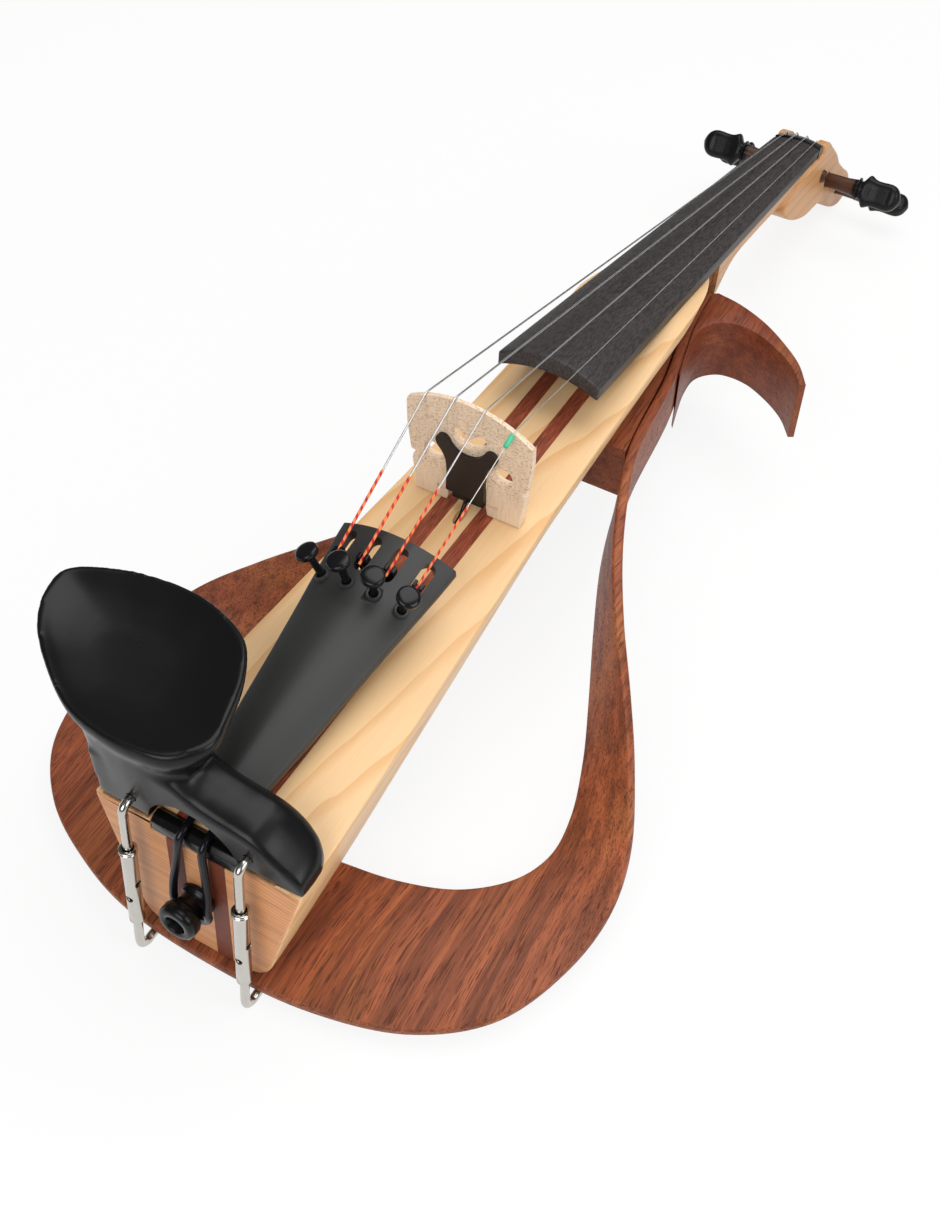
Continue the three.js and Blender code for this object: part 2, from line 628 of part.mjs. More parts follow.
const troughShares = [[0.08, -0.3], [0.08, 0.42], [0.3, 0.58], [0.74, 0.865], [0.83, 0.8],
  [0.86, -0.3]];
const headBlank = acrossX(headShares.map(headPoint), -headHalfWidth, headHalfWidth);
const trough = acrossX(troughShares.map(headPoint), cheek - headHalfWidth, headHalfWidth - cheek);
const neckShaft = loft(neckShares.map(neckRing));
const heelCut = box(-tailWidth, tailWidth, 0, heelY, -overrun * 4, overrun * 4).applyMatrix4(intoNeck);

// Pegs: string, side, shares of the head's length and drop, order along the nut
const pegShares = [
  ['g', -1, 0.19, 0.375, -1.5], ['d', -1, 0.515, 0.6, -0.5],
  ['a', 1, 0.7, 0.735, 0.5], ['e', 1, 0.345, 0.485, 1.5],
];
const pegTurnShares = { g: 0.38, d: 0.55, a: 0.12, e: 0.38 };
const pegCollarAt = 28;
const pegThin = 3.1;
const pegThick = 4;
const pegEnd = 2;
const pegTail = headHalfWidth + pegEnd;
const pegTaper = (pegThick - pegThin) / (pegCollarAt + pegTail);
const pegRadius = (x) => pegThin + (x + pegTail) * pegTaper;
const pegCollarRadius = 5.6;
const pegCollarWidth = 1.2;
const pegHeadLength = 22;
const pegHeadHalf = 8.8;
const pegHeadThin = 5;
const pegPlace = ([, , s, d]) => vec(0, s * headLength, -d * headDrop);
const pegBore = (row) => {
  const reach = headHalfWidth + gap;
  return turnedAt([[0, -reach], [pegRadius(-reach) + runningGap, -reach],
    [pegRadius(reach) + runningGap, reach], [0, reach]], pegPlace(row), X.clone().multiplyScalar(row[1]));
};
const neckWhole = join(neckShaft, headBlank);
add('neck', cut(neckWhole, fingerboardRoom, trough, heelCut, ...pegShares.map(pegBore)),
  neckMaple, neckFrame);

const pegProfile = [
  [0, -pegTail], [pegThin, -pegTail], [pegThick, pegCollarAt], [pegCollarRadius, pegCollarAt],
  [pegCollarRadius, pegCollarAt + pegCollarWidth], [pegThick, pegCollarAt + pegCollarWidth * 1.6],
  [pegCollarRadius * 0.85, pegCollarAt + pegCollarWidth * 2.4],
  [pegThick, pegCollarAt + pegCollarWidth * 3.2], [pegThick, pegCollarAt + pegCollarWidth * 6],
  [0, pegCollarAt + pegCollarWidth * 6],
];
const pegLobe = new THREE.SphereGeometry(1, 12, 8)
  .scale(pegHeadHalf, pegHeadLength / 2, pegHeadThin)
  .translate(0, pegCollarAt + pegCollarWidth * 2.4 + pegHeadLength / 2, 0);
const pegShape = join(turned(pegProfile), pegLobe);
pegShares.forEach((row) => {
  const peg = add(`peg_${row[0]}`, pegShape.clone(), ebony, neckFrame);
  peg.position.copy(pegPlace(row));
  peg.rotation.set(pegTurnShares[row[0]] * Math.PI, 0, -row[1] * Math.PI / 2);
});

// Bridge, leaning a little to the fingerboard about its feet
const bridgeLean = THREE.MathUtils.degToRad(1.7);
const bridgeFrame = frameAt(vec(0, 0, 0), -bridgeLean);
const bridgeHalf = 23.6;
const footHalf = 20.9;
const footInner = 8.5;
const bridgeThickness = 4.4;
const bridgeTopThickness = 1.6;
const bridgeRadius = 42;
const bridgeTrebleDrop = 1.2;
const bridgeSideShares = [[1, 0.855], [0.965, 0.4], [0.86, 0.365], [0.84, 0.335], [0.9, 0.29]];
const bridgeCrown = (x) => bridgeHeight - (bridgeRadius - Math.sqrt(bridgeRadius ** 2 - x ** 2))
  - bridgeTrebleDrop * (x / bridgeHalf);
function bridgeOutline() {
  const side = bridgeSideShares.map(([x, z]) => [x * bridgeHalf, z * bridgeHeight]);
  const leg = [[footHalf, 0.06 * bridgeHeight], [footHalf, gap], [footInner, gap],
    [footInner, 0.05 * bridgeHeight], [footInner * 1.3, 0.13 * bridgeHeight],
    [footInner * 0.8, 0.2 * bridgeHeight], [0, 0.225 * bridgeHeight]];
  const right = [...side, ...leg];
  const crown = [-1, -0.85, -0.65, -0.45, -0.22, 0, 0.22, 0.45, 0.65, 0.85, 1]
    .map((share) => share * bridgeHalf * 0.985).map((x) => [x, bridgeCrown(x)]);
  const left = right.slice(0, -1).toReversed().map(([x, z]) => [-x, z]);
  return [...crown, ...right, ...left];
}
const ellipse = (x, z, a, b) => new THREE.Path().absellipse(x, z, a, b, 0, 2 * Math.PI);
const pathOf = (points) => new THREE.Path(points.getPoints(5).slice(0, -1));
const bridgeShape = shapeOf(bridgeOutline());
const kidney = { x: 0.66 * bridgeHalf, z: 0.44 * bridgeHeight, a: 0.13 * bridgeHalf };
bridgeShape.holes.push(
  pathOf(ellipse(0, 0.72 * bridgeHeight, 0.11 * bridgeHalf, 0.05 * bridgeHeight)),
  pathOf(ellipse(kidney.x, kidney.z, kidney.a, kidney.a)),
  pathOf(ellipse(-kidney.x, kidney.z, kidney.a, kidney.a)),
);
const bridgeBack = -bridgeThickness / 2;
const bridgeFace = bridgeThickness / 2;
const bridgeTaper = acrossX([
  [bridgeFace, bridgeHeight * 0.15], [bridgeBack + bridgeTopThickness, bridgeHeight + gap],
  [bridgeBack + bridgeTopThickness, bridgeHeight + overrun], [bridgeFace + overrun, bridgeHeight + overrun],
  [bridgeFace + overrun, bridgeHeight * 0.15]], -tailWidth, tailWidth);
add('bridge', cut(alongY(bridgeShape, bridgeFace, bridgeBack), bridgeTaper), bridgeMaple,
  bridgeFrame);

// Pickup: a plate on the back of the bridge with a block between its legs, and its lead
const pickupThickness = 1.6;
const pickupHalf = 7.8;
const pickupShares = [
  [-1, 0.14], [-0.92, 0.3], [-1.05, 0.43], [-1.6, 0.53], [-1.4, 0.62], [-0.75, 0.57],
  [-0.45, 0.52], [0.45, 0.52], [0.75, 0.57], [1.4, 0.62], [1.6, 0.53], [1.05, 0.43],
  [0.92, 0.3], [1, 0.14],
];
const pickupBack = bridgeBack - gap - pickupThickness;
const pickupShape = shapeOf(pickupShares.map(([x, z]) => [x * pickupHalf, z * bridgeHeight]));
const pickupBlockHalf = 6.2;
const pickupBlockFace = 1.4;
const [pickupBlockFoot, pickupBlockNeck, pickupBlockTop] = [2.2, 6.7, 8.6];
add('pickup', join(alongY(pickupShape, bridgeBack - gap, pickupBack),
  box(-pickupBlockHalf, pickupBlockHalf, bridgeBack + gap, pickupBlockFace,
    pickupBlockFoot, pickupBlockTop),
  box(-pickupBlockHalf, pickupBlockHalf, pickupBack + pickupThickness / 2, pickupBlockFace,
    pickupBlockNeck, pickupBlockTop)), blackPlastic, bridgeFrame);
const leadStart = vec(0, pickupBack + pickupThickness / 2, 0.14 * bridgeHeight - gap)
  .applyMatrix4(bridgeFrame.matrix);
const leadPoints = [
  leadStart, vec(0, leadStart.y, leadStart.z * 0.6),
  vec(0, (leadEntry.y + leadStart.y) / 2, leadBore), leadEntry.clone(),
  ...[0.2, 0.5, 0.8, 0.96].map((share) => leadEntry.clone().lerp(leadExit, share)),
];
add('pickup_lead', cord(leadPoints, leadRadius, 30), gutBlack);

// Laminations of the body, split where the stripes are
const glueLine = 0.05;
const stripeOuter = stripeInner + stripeWidth;
const laminations = [
  ['body_bass_side', -tailWidth, -stripeOuter - glueLine, maple],
  ['body_bass_stripe', -stripeOuter, -stripeInner, mahogany],
  ['body_middle', glueLine - stripeInner, stripeInner - glueLine, maple],
  ['body_treble_stripe', stripeInner, stripeOuter, mahogany],
  ['body_treble_side', stripeOuter + glueLine, tailWidth, maple],
];
laminations.forEach(([name, x0, x1, material]) => {
  const slab = box(x0, x1, -behindBridge - overrun, bodyFront + overrun, -tailDepth - overrun, overrun);
  add(name, geometry(bodySolid.intersect(solid(slab))), material);
});

// Tailpiece, in its own frame: y runs to the tail from the front edge, z out of its face
const tunerPitch = 9.9;
const tunerShares = [['g', -1.5], ['d', -0.5], ['a', 0.5], ['e', 1.5]];
const tailpieceMargin = 6.6;
const tailpieceHalf = tunerPitch * tunerShares.at(-1)[1] + tailpieceMargin;
const tailpieceSetback = 46;
const tailpieceFrontHeight = 20.8;
const tailpieceSlope = Math.atan(0.152);
const tailpieceThickness = 3;
const tailpieceCrown = 6;
const gutSpan = 2.6;
const tailpieceLength = (-saddleFront - gutSpan - tailpieceSetback) / Math.cos(tailpieceSlope);
const tailpieceFrame = frameAt(vec(0, -tailpieceSetback, tailpieceFrontHeight), tailpieceSlope);
const tailpieceShares = [[0, 1, 1], [0.1, 0.95, 1], [0.32, 0.81, 0.95], [0.51, 0.7, 0.9],
  [0.67, 0.62, 0.85], [0.88, 0.48, 0.75], [1, 0.38, 0.6]];
const archShares = [1, 0.8, 0.55, 0.28, 0, -0.28, -0.55, -0.8, -1];
function tailpieceRing([lengthShare, widthShare, crownShare]) {
  const half = widthShare * tailpieceHalf;
  const y = -lengthShare * tailpieceLength;
  const arch = (share) => crownShare * tailpieceCrown * (1 - share ** 2);
  const top = archShares.map((share) => vec(share * half, y, arch(share)));
  const under = archShares.toReversed().map((share) =>
    vec(share * half, y, arch(share) * 0.8 - tailpieceThickness));
  return [...top, ...under];
}
const slotWidth = 4.6;
const slotFront = 3.2;
const slotBack = 17;
const screwAt = 22.5;
const screwRadius = 1.3;
const tunerX = ([, order]) => order * tunerPitch;

// Each tuner stands square to the arched face: its frame starts on the face, z out of it.
const tunerFrames = new Map(tunerShares.map((row) => {
  const x = tunerX(row);
  const frame = frameAt(vec(x, 0, tailpieceCrown * (1 - (x / tailpieceHalf) ** 2)), 0,
    tailpieceFrame);
  frame.rotation.y = Math.atan(2 * tailpieceCrown * x / tailpieceHalf ** 2);
  frame.updateMatrix();
  return [row[0], frame];
}));
const slotCut = (frame) => box(-slotWidth / 2, slotWidth / 2, -slotBack, -slotFront,
  -overrun, overrun).applyMatrix4(frame.matrix);
const screwBoreCut = (frame) => turnedAt(rod(screwRadius + runningGap, overrun * 2),
  vec(0, -screwAt, -overrun), Z, 16).applyMatrix4(frame.matrix);
const gutHalf = 4;
const gutRadius = 1.3;
const gutHoleDrop = 0.5;
const gutHoleDepth = 9;
const gutHole = (side) => turnedAt(rod(gutRadius + gap, gutHoleDepth + overrun),
  vec(side * gutHalf, gutHoleDepth - tailpieceLength, -gutHoleDrop), Y.clone().negate(), 12);
const tailpieceBody = cut(loft(tailpieceShares.map(tailpieceRing)),
  ...[...tunerFrames.values()].flatMap((frame) => [slotCut(frame), screwBoreCut(frame)]),
  gutHole(-1), gutHole(1));
add('tailpiece', tailpieceBody, blackPlastic, tailpieceFrame);

// Fine tuners: a screw with its knob, and a bell-crank lever whose fork holds the string
const tunerRise = 9;
const tunerKnobRadius = 3.9;
const tunerKnobHeight = 3.4;
const tunerKnobNeck = 2;
const tunerSpigot = 1;
const leverPivotY = 12.5;
const leverPivotZ = -8.6;
const leverHalf = 1.5;
const leverArm = screwAt - leverPivotY;
const forkTop = 10.2;
const forkHalfWidth = 1.7;
const forkSlotHalf = 0.7;
const forkSlotDepth = 2.6;
const stringInFork = leverPivotZ + forkTop - forkSlotDepth / 2;
const stemFoot = leverPivotZ + leverHalf + gap;
const tunerStem = turned([[0, stemFoot], [screwRadius, stemFoot],
  [screwRadius, tunerRise - gap], [0, tunerRise - gap]], 12);
const tunerKnob = turned([
  [0, tunerRise], [tunerKnobNeck, tunerRise], [tunerKnobRadius, tunerRise + tunerKnobHeight * 0.2],
  [tunerKnobRadius, tunerRise + tunerKnobHeight * 0.8],
  [tunerKnobRadius - tunerSpigot, tunerRise + tunerKnobHeight], [0, tunerRise + tunerKnobHeight],
]);
const armEnd = -leverArm - screwRadius;
const leverProfile = [
  [armEnd, -leverHalf], [armEnd, leverHalf], [-leverHalf, leverHalf],
  [-leverHalf * 0.6, forkTop], [leverHalf * 0.6, forkTop],
  [leverHalf, leverHalf], [leverHalf, -leverHalf],
];
const tunerLever = cut(acrossX(leverProfile, -forkHalfWidth, forkHalfWidth),
  box(-forkSlotHalf, forkSlotHalf, -overrun, overrun, forkTop - forkSlotDepth, overrun));
tunerFrames.forEach((frame, name) => {
  const stem = add(`tuner_screw_${name}`, tunerStem.clone(), blackSteel, frame);
  const knob = add(`tuner_knob_${name}`, tunerKnob.clone(), blackSteel, frame);
  [stem, knob].forEach((piece) => {
    piece.rotation.x = Math.PI / 2;
    piece.position.y = -screwAt;
  });
  const lever = add(`tuner_lever_${name}`, tunerLever.clone(), blackSteel, frame);
  lever.position.set(0, -leverPivotY, leverPivotZ);
});

// Tail gut: out of the tailpiece, over the saddle, round the end button and back
const gutAt = (back) => vec(0, back - tailpieceLength, -gutHoleDrop)
  .applyMatrix4(tailpieceFrame.matrix);
const gutInner = gutAt(gutHoleDepth - gap);
const gutOuter = gutAt(0);
const saddleOver = saddleProud + gutRadius + gap * 2;
const gutOut = gutRadius + gap * 2;
const grooveAt = buttonSeat.clone().addScaledVector(buttonOut, buttonLength * 0.35);
const loopRadius = grooveRadius + gutRadius + gap * 2;
const gutSide = (side) => [
  vec(side * gutHalf, gutInner.y, gutInner.z), vec(side * gutHalf, gutOuter.y, gutOuter.z),
  vec(side * gutHalf, saddleFront, saddleOver + gap),
  vec(side * gutHalf, saddleFront - saddleLength * 0.6, saddleOver),
  vec(side * gutHalf, -behindBridge - gutOut * 0.75, saddleProud * 0.6),
  vec(side * gutHalf * 1.1, -behindBridge - gutOut * 1.3, -saddleSink),
  vec(side * loopRadius * 0.9, grooveAt.y + gutOut * 0.6, loopRadius * 1.6 - buttonDepth),
];
const underShares = [-0.15, 0.1, 0.3, 0.5, 0.7, 0.9, 1.15];
const aroundButton = underShares.map((share) => vec(
  loopRadius * Math.cos(share * Math.PI), grooveAt.y,
  grooveAt.z - loopRadius * Math.sin(share * Math.PI)));
const gutPoints = [...gutSide(1), ...aroundButton, ...gutSide(-1).toReversed()];
add('tail_gut', cord(gutPoints, gutRadius, 56), gutBlack);

// Chin rest: a bar over the tail with an arch for the tailpiece, and the cup rising from it
const corkThickness = 1.4;
const restBottom = corkThickness + gap;
const restHeight = 19;
const restDepth = 19;
const restBass = 34.5;
const restTreble = 38.4;
const restBack = -behindBridge;
const restFront = restBack + restDepth;
const restShares = [[0, 0], [1, 0], [1, 0.55], [0.95, 0.8], [0.8, 0.95], [0.56, 1],
  [0.3, 0.985], [0.08, 0.94], [0, 0.86]];

// Sections of the bar: place as a share of its bass or treble end, share of height and of depth
const restRowShares = [[-1, 1.2, 1], [-0.3, 1.2, 1], [0, 1.12, 1], [0.2, 1.04, 1], [0.44, 1, 1],
  [0.57, 0.95, 1], [0.7, 0.8, 0.95], [0.83, 0.55, 0.78], [0.94, 0.34, 0.58], [1, 0.2, 0.4]];
const restBar = loft(restRowShares.map(([aside, tall, deep]) => restShares.map(([back, up]) => vec(
  aside * (aside < 0 ? restBass : restTreble), restBack + restDepth * back * deep,
  restBottom + restHeight * up * tall))));
const archHalf = saddleWidth / 2 + gap * 1.5;
const archHeight = 16.7;
const archShapeShares = [[1, 0], [0.93, 0.3], [0.79, 0.59], [0.52, 0.84], [0.2, 1]];
const archProfile = [...archShapeShares, ...archShapeShares.toReversed().map(([x, z]) => [-x, z])]
  .map(([x, z]) => [x * archHalf, z * archHeight]);
const restArch = alongY(shapeOf(archProfile), restFront + overrun, restBack - overrun);

// The cup: its outline from the middle, and its rows as shares of the way from the foot
const cupHalfLength = 42;
const cupHalfWidth = 28;
const cupHeight = 39;
const cupMiddle = vec(-35, 26 - behindBridge, cupHeight);
const cupFoot = vec(-18, 11 - behindBridge, restBottom);
const cupShares = [
  [0.93, -0.5], [0.88, -0.1], [0.76, 0.4], [0.56, 0.78], [0.1, 1], [-0.3, 0.97], [-0.62, 0.85],
  [-0.93, 0.55], [-0.9, 0.15], [-0.75, -0.2], [-0.5, -0.52], [-0.12, -0.86], [0.2, -0.96],
  [0.45, -0.96], [0.74, -0.86],
];
const cupRowShares = [
  [0, 0, 0.24], [0.1, 0.2, 0.44], [0.35, 0.42, 0.68], [0.65, 0.68, 0.88], [0.9, 0.9, 0.98],
  [1, 0.985, 1], [1, 1, 0.95], [1, 0.94, 0.86], [0.97, 0.8, 0.66], [0.95, 0.72, 0.36],
];
const cupOutline = new THREE.CatmullRomCurve3(
  cupShares.map(([x, y]) => vec(x * cupHalfLength, y * cupHalfWidth, 0)), true).getPoints(30);
const cupRing = ([aside, up, scale]) => cupOutline.slice(0, -1).map((point) => vec(
  THREE.MathUtils.lerp(cupFoot.x, cupMiddle.x, aside) + point.x * scale,
  THREE.MathUtils.lerp(cupFoot.y, cupMiddle.y, aside) + point.y * scale,
  THREE.MathUtils.lerp(cupFoot.z, cupMiddle.z, up)));
const hookRadius = 1.5;
const hookWall = 2.6;
const clampHalf = archHalf + hookRadius + hookWall;
const hookHeight = 9.5;
const hookDepth = 9;
const hookBore = (side) => turnedAt(rod(hookRadius + gap, overrun),
  vec(side * clampHalf, restBack + hookDepth, hookHeight), Y.clone().negate(), 12);
const restCuts = [restArch, hookBore(-1), hookBore(1),
  box(-frameHalfWidth, frameHalfWidth, -behindBridge * 2, 0, -overrun, restBottom)];
add('chin_rest', cut(join(restBar, loft(cupRowShares.map(cupRing))), ...restCuts), blackPlastic);

// Cork under the two feet of the chin rest
const corkInset = 0.8;
const corkPad = (x0, x1) => box(x0, x1, corkInset - behindBridge, restFront - corkInset,
  gap, corkThickness);
add('chin_rest_cork_bass', corkPad(corkInset - restBass, -archHalf - gap), cork);
add('chin_rest_cork_treble', corkPad(archHalf + gap, restTreble * 0.74), cork);

// Chin rest clamps: a hook in the rest, a barrel that turns, and a foot under the frame. Their
// legs lean away from the tail face; the clamp frame starts on the legs' line at the top's height.
const clampLean = THREE.MathUtils.degToRad(7.8);
const legStandoff = 5.8;
const clampFrame = frameAt(vec(0, restBack - legStandoff, 0), -clampLean);
const intoClamp = clampFrame.matrix.clone().invert();
const barrelRadius = 2.5;
const barrelCollar = 2.9;
const barrelCollarHeight = 1.6;
const barrelShare = 0.16;
const barrelEndShare = 0.8;
const barrelBore = hookRadius + runningGap;
const keyHole = 1.3;
const threadLength = 13;
const footReach = 11.5;
const footBend = 3.4;
const barrelTop = -barrelShare * bandDrop;
const barrelBottom = -barrelEndShare * bandDrop;
const footZ = -bandDrop - bandThickness / 2 - gap - hookRadius;
const legAt = (z) => vec(0, restBack - legStandoff + z * Math.tan(clampLean), z);
const keyHoles = [[0.45, X], [0.64, Z]].map(([share, way]) => turnedAt(
  rod(keyHole, overrun), vec(0, THREE.MathUtils.lerp(barrelTop, barrelBottom, share), 0)
    .addScaledVector(way, -overrun / 2), way, 10));
const legFoot = legAt(footZ + footBend);
const footTurn = [[0.2, footBend * 0.4], [0.8, 0], [1.5, 0]].map(([along, up]) =>
  vec(0, legFoot.y + footBend * along, footZ + up));
const footPoints = [...footTurn, vec(0, legFoot.y + footReach, footZ)]
  .map((point) => point.applyMatrix4(intoClamp));
[['bass', -1], ['treble', 1]].forEach(([name, side]) => {
  const x = side * clampHalf;
  const bend = hookRadius * 2;
  const hookTurn = legAt(hookHeight - bend * 1.3);
  const hookPoints = [
    vec(x, restBack + hookDepth - gap, hookHeight), vec(x, restBack, hookHeight),
    vec(x, hookTurn.y + bend * 0.9, hookHeight), vec(x, hookTurn.y + bend * 0.2, hookHeight - bend * 0.35),
    hookTurn.setX(x), legAt(barrelTop).setX(x), legAt(barrelTop - threadLength).setX(x),
  ];
  add(`clamp_hook_${name}`, cord(hookPoints, hookRadius, 24), nickel);
  const barrel = add(`clamp_barrel_${name}`, cut(turned([
    [barrelBore, barrelTop], [barrelCollar, barrelTop],
    [barrelCollar, barrelTop - barrelCollarHeight],
    [barrelRadius, barrelTop - barrelCollarHeight * 1.3], [barrelRadius, barrelBottom],
    [barrelBore, barrelBottom],
  ]), ...keyHoles), nickel, clampFrame);
  barrel.rotation.x = Math.PI / 2;
  barrel.position.x = x;
  const foot = add(`clamp_foot_${name}`, cord([
    vec(0, 0, barrelBottom + threadLength), vec(0, 0, barrelBottom),
    legFoot.clone().applyMatrix4(intoClamp), ...footPoints,
  ], hookRadius, 24), nickel, clampFrame);
  foot.position.x = x;
});

// Strings: from the lever's fork, over the bridge and the nut, to the peg
const bridgeSpacing = 11.3;
const nutSpacing = 5.4;
const stringRadii = { g: 0.42, d: 0.45, a: 0.35, e: 0.2 };
const stringMetal = { g: silver, d: silver, a: silver, e: steel };
const stringTail = 1.2;
const windingTurns = 3.25;
const windingSteps = 14;
const windingClear = 0.45;
const windingMargin = 2.4;
const stringSides = 5;
const sleevedString = 'e';
const sleeveWall = 0.6;
const sleeveLength = 5;
const intoViolin = (point, frame) => point.applyMatrix4(frame.matrix);
pegShares.forEach((row) => {
  const [name, side, , , order] = row;
  const radius = stringRadii[name];
  const lift = radius + gap / 2;
  const start = intoViolin(intoViolin(
    vec(0, -leverPivotY - leverHalf - stringTail, stringInFork), tunerFrames.get(name)),
  tailpieceFrame);
  const overX = order * bridgeSpacing;
  const onBridge = (y) => intoViolin(vec(overX, y, bridgeCrown(overX) + lift), bridgeFrame);
  const overBack = onBridge(bridgeBack - gap);
  const overFront = onBridge(bridgeBack + bridgeTopThickness + gap);
  const nutX = order * nutSpacing;
  const nutTop = vec(nutX, 0, nutLift - crownDrop(nutX) + lift);
  const nutFront = intoViolin(nutTop.clone().setY(gap), neckFrame);
  const nutBack = nutTop.clone().setY(nutLength + gap);

  // The string meets the winding on its peg along a tangent, and stops just short of it.
  const peg = pegPlace(row);
  const coil = pegRadius(headHalfWidth - cheek) + radius + gap / 2;
  const reach = Math.hypot(peg.y - nutBack.y, peg.z - nutBack.z);
  const slope = Math.atan2(peg.z - nutBack.z, peg.y - nutBack.y) + Math.asin(coil / reach);
  const pitch = 2 * radius + windingClear;
  const lane = side * (headHalfWidth - cheek - windingMargin - windingTurns * pitch);
  const onPeg = (angle, aside) => vec(
    lane + aside, -coil * Math.sin(slope - angle), coil * Math.cos(slope - angle));
  const meet = onPeg(0, 0).add(peg);
  const short = Math.sqrt((coil + 2 * radius + gap / 2) ** 2 - coil ** 2);
  const share = 1 - short / nutBack.distanceTo(meet);
  const end = intoViolin(nutBack.clone().lerp(meet, share), neckFrame);
  add(`string_${name}`, wire([start, overBack, overFront, nutFront,
    intoViolin(nutBack.clone(), neckFrame), end], radius, stringSides), stringMetal[name]);
  if (name === sleevedString) {
    const bore = radius + gap / 2;
    const along = start.clone().sub(overBack).normalize();
    add(`string_sleeve_${name}`, turnedAt([
      [bore, 0], [bore + sleeveWall, 0], [bore + sleeveWall, sleeveLength], [bore, sleeveLength],
    ], overBack.clone().addScaledVector(along, gap * 2), along, 10), greenTube);
  }

  const steps = Math.round(windingTurns * windingSteps);
  const turns = Array.from({ length: steps + 1 }, (_, i) =>
    onPeg((i / windingSteps) * 2 * Math.PI, side * (i / windingSteps) * pitch));
  const winding = add(`string_winding_${name}`, wire(turns, radius, stringSides),
    stringMetal[name], neckFrame);
  winding.position.copy(peg);
  const nearest = Math.min(...turns.slice(windingSteps / 2).map((point, i) =>
    Math.min(...turns.slice(0, i + 1).map((other) => point.distanceTo(other)))));
  console.log(`winding ${name}: least gap to itself ${(nearest - 2 * radius).toFixed(2)} mm`);
});

// Lay the violin down on its clamps and its head, then put the middle of its base at the origin.
violin.updateMatrixWorld(true);
function corners(name) {
  const mesh = violin.getObjectByName(name);
  const spots = mesh.geometry.getAttribute('position');
  return Array.from({ length: spots.count }, (_, i) =>
    vec().fromBufferAttribute(spots, i).applyMatrix4(mesh.matrixWorld));
}
const tailRest = corners('clamp_foot_bass').reduce((low, point) => (point.z < low.z ? point : low));
const restTilt = Math.min(...corners('neck').filter((point) => point.y > heelY)
  .map((point) => Math.atan2(point.z - tailRest.z, point.y - tailRest.y)));
violin.rotation.x = -restTilt;
const model = new THREE.Group();
model.add(violin);
model.updateMatrixWorld(true);
const extent = new THREE.Box3().setFromObject(model, true);
const middle = extent.getCenter(vec());
violin.position.set(-middle.x, -middle.y, -extent.min.z);

export default model;
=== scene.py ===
"""Electric violin: a laminated maple body in an open walnut frame, with chin rest and fittings.

The shapes are worked out in the violin's own frame, in millimetres: x to the treble side, y to the
pegbox from under the bridge, z out of the flat top. VIOLIN lays them where the frame's violin lies.
"""
import json
import math
from types import SimpleNamespace

import bmesh
import bpy
import numpy as np
from mathutils import Matrix, Vector


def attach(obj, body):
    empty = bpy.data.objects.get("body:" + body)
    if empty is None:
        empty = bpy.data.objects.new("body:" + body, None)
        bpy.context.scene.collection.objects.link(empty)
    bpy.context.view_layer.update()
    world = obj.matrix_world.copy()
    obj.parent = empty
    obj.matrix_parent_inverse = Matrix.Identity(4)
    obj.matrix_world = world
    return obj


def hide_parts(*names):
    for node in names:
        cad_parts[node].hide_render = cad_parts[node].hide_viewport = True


bl_info = {
    "name": "Open Frame Violin",
    "version": (1, 0, 0),
    "blender": (4, 5, 0),
    "location": "View3D > Sidebar > Violin",
    "description": "Builds an electric violin with a laminated body and an open walnut frame",
    "category": "Add Mesh",
}

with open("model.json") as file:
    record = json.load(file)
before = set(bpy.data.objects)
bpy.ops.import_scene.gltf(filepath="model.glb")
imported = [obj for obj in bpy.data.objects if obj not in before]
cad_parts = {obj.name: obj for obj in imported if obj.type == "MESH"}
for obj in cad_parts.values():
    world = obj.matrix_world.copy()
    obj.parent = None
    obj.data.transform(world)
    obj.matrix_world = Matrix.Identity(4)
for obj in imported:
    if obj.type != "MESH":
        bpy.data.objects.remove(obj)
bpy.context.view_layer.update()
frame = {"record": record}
RECORD = frame["record"]
BODY_OF = {node: body for body, nodes in RECORD["behaviour"]["bodies"].items() for node in nodes}
SLOT_OF = {part["node"]: part["material_slot"] for part in RECORD["subparts"]}

MM = 0.001
# Millimetres between pieces that touch, and between pieces that move on each other
GAP = 0.3
RUNNING_GAP = 0.35
# How far a cutting tool runs past what it cuts, along its way and across the violin
OVERRUN = 30
REACH = 75
MOUNT_Y = 24
# The strings from the bass side, and each one's place from the middle in spacings
STRINGS = ("g", "d", "a", "e")
ORDER = {"g": -1.5, "d": -0.5, "a": 0.5, "e": 1.5}


def violin_frame():
    """The violin's own frame in the row frame: its top carries the mount, 24 mm before the bridge."""
    mount = RECORD["mounts"][0]
    up = Vector(mount["axis"])
    turn = Matrix.Rotation(math.atan2(-up.y, up.z), 4, "X")
    seat = turn @ Vector((0, MOUNT_Y * MM, 0))
    return Matrix.Translation(Vector(mount["pos_m"]) - seat) @ turn @ Matrix.Scale(MM, 4)


VIOLIN = violin_frame()


# Sizes and colours that a user would change

def size(name, description, mm):
    """A length property, given in millimetres and held in metres."""
    return bpy.props.FloatProperty(
        name=name, description=description, default=mm * MM, min=0, unit="LENGTH", subtype="DISTANCE")


def colour(name, description, rgb):
    return bpy.props.FloatVectorProperty(
        name=name, description=description, default=rgb, size=3, min=0, max=1, subtype="COLOR")


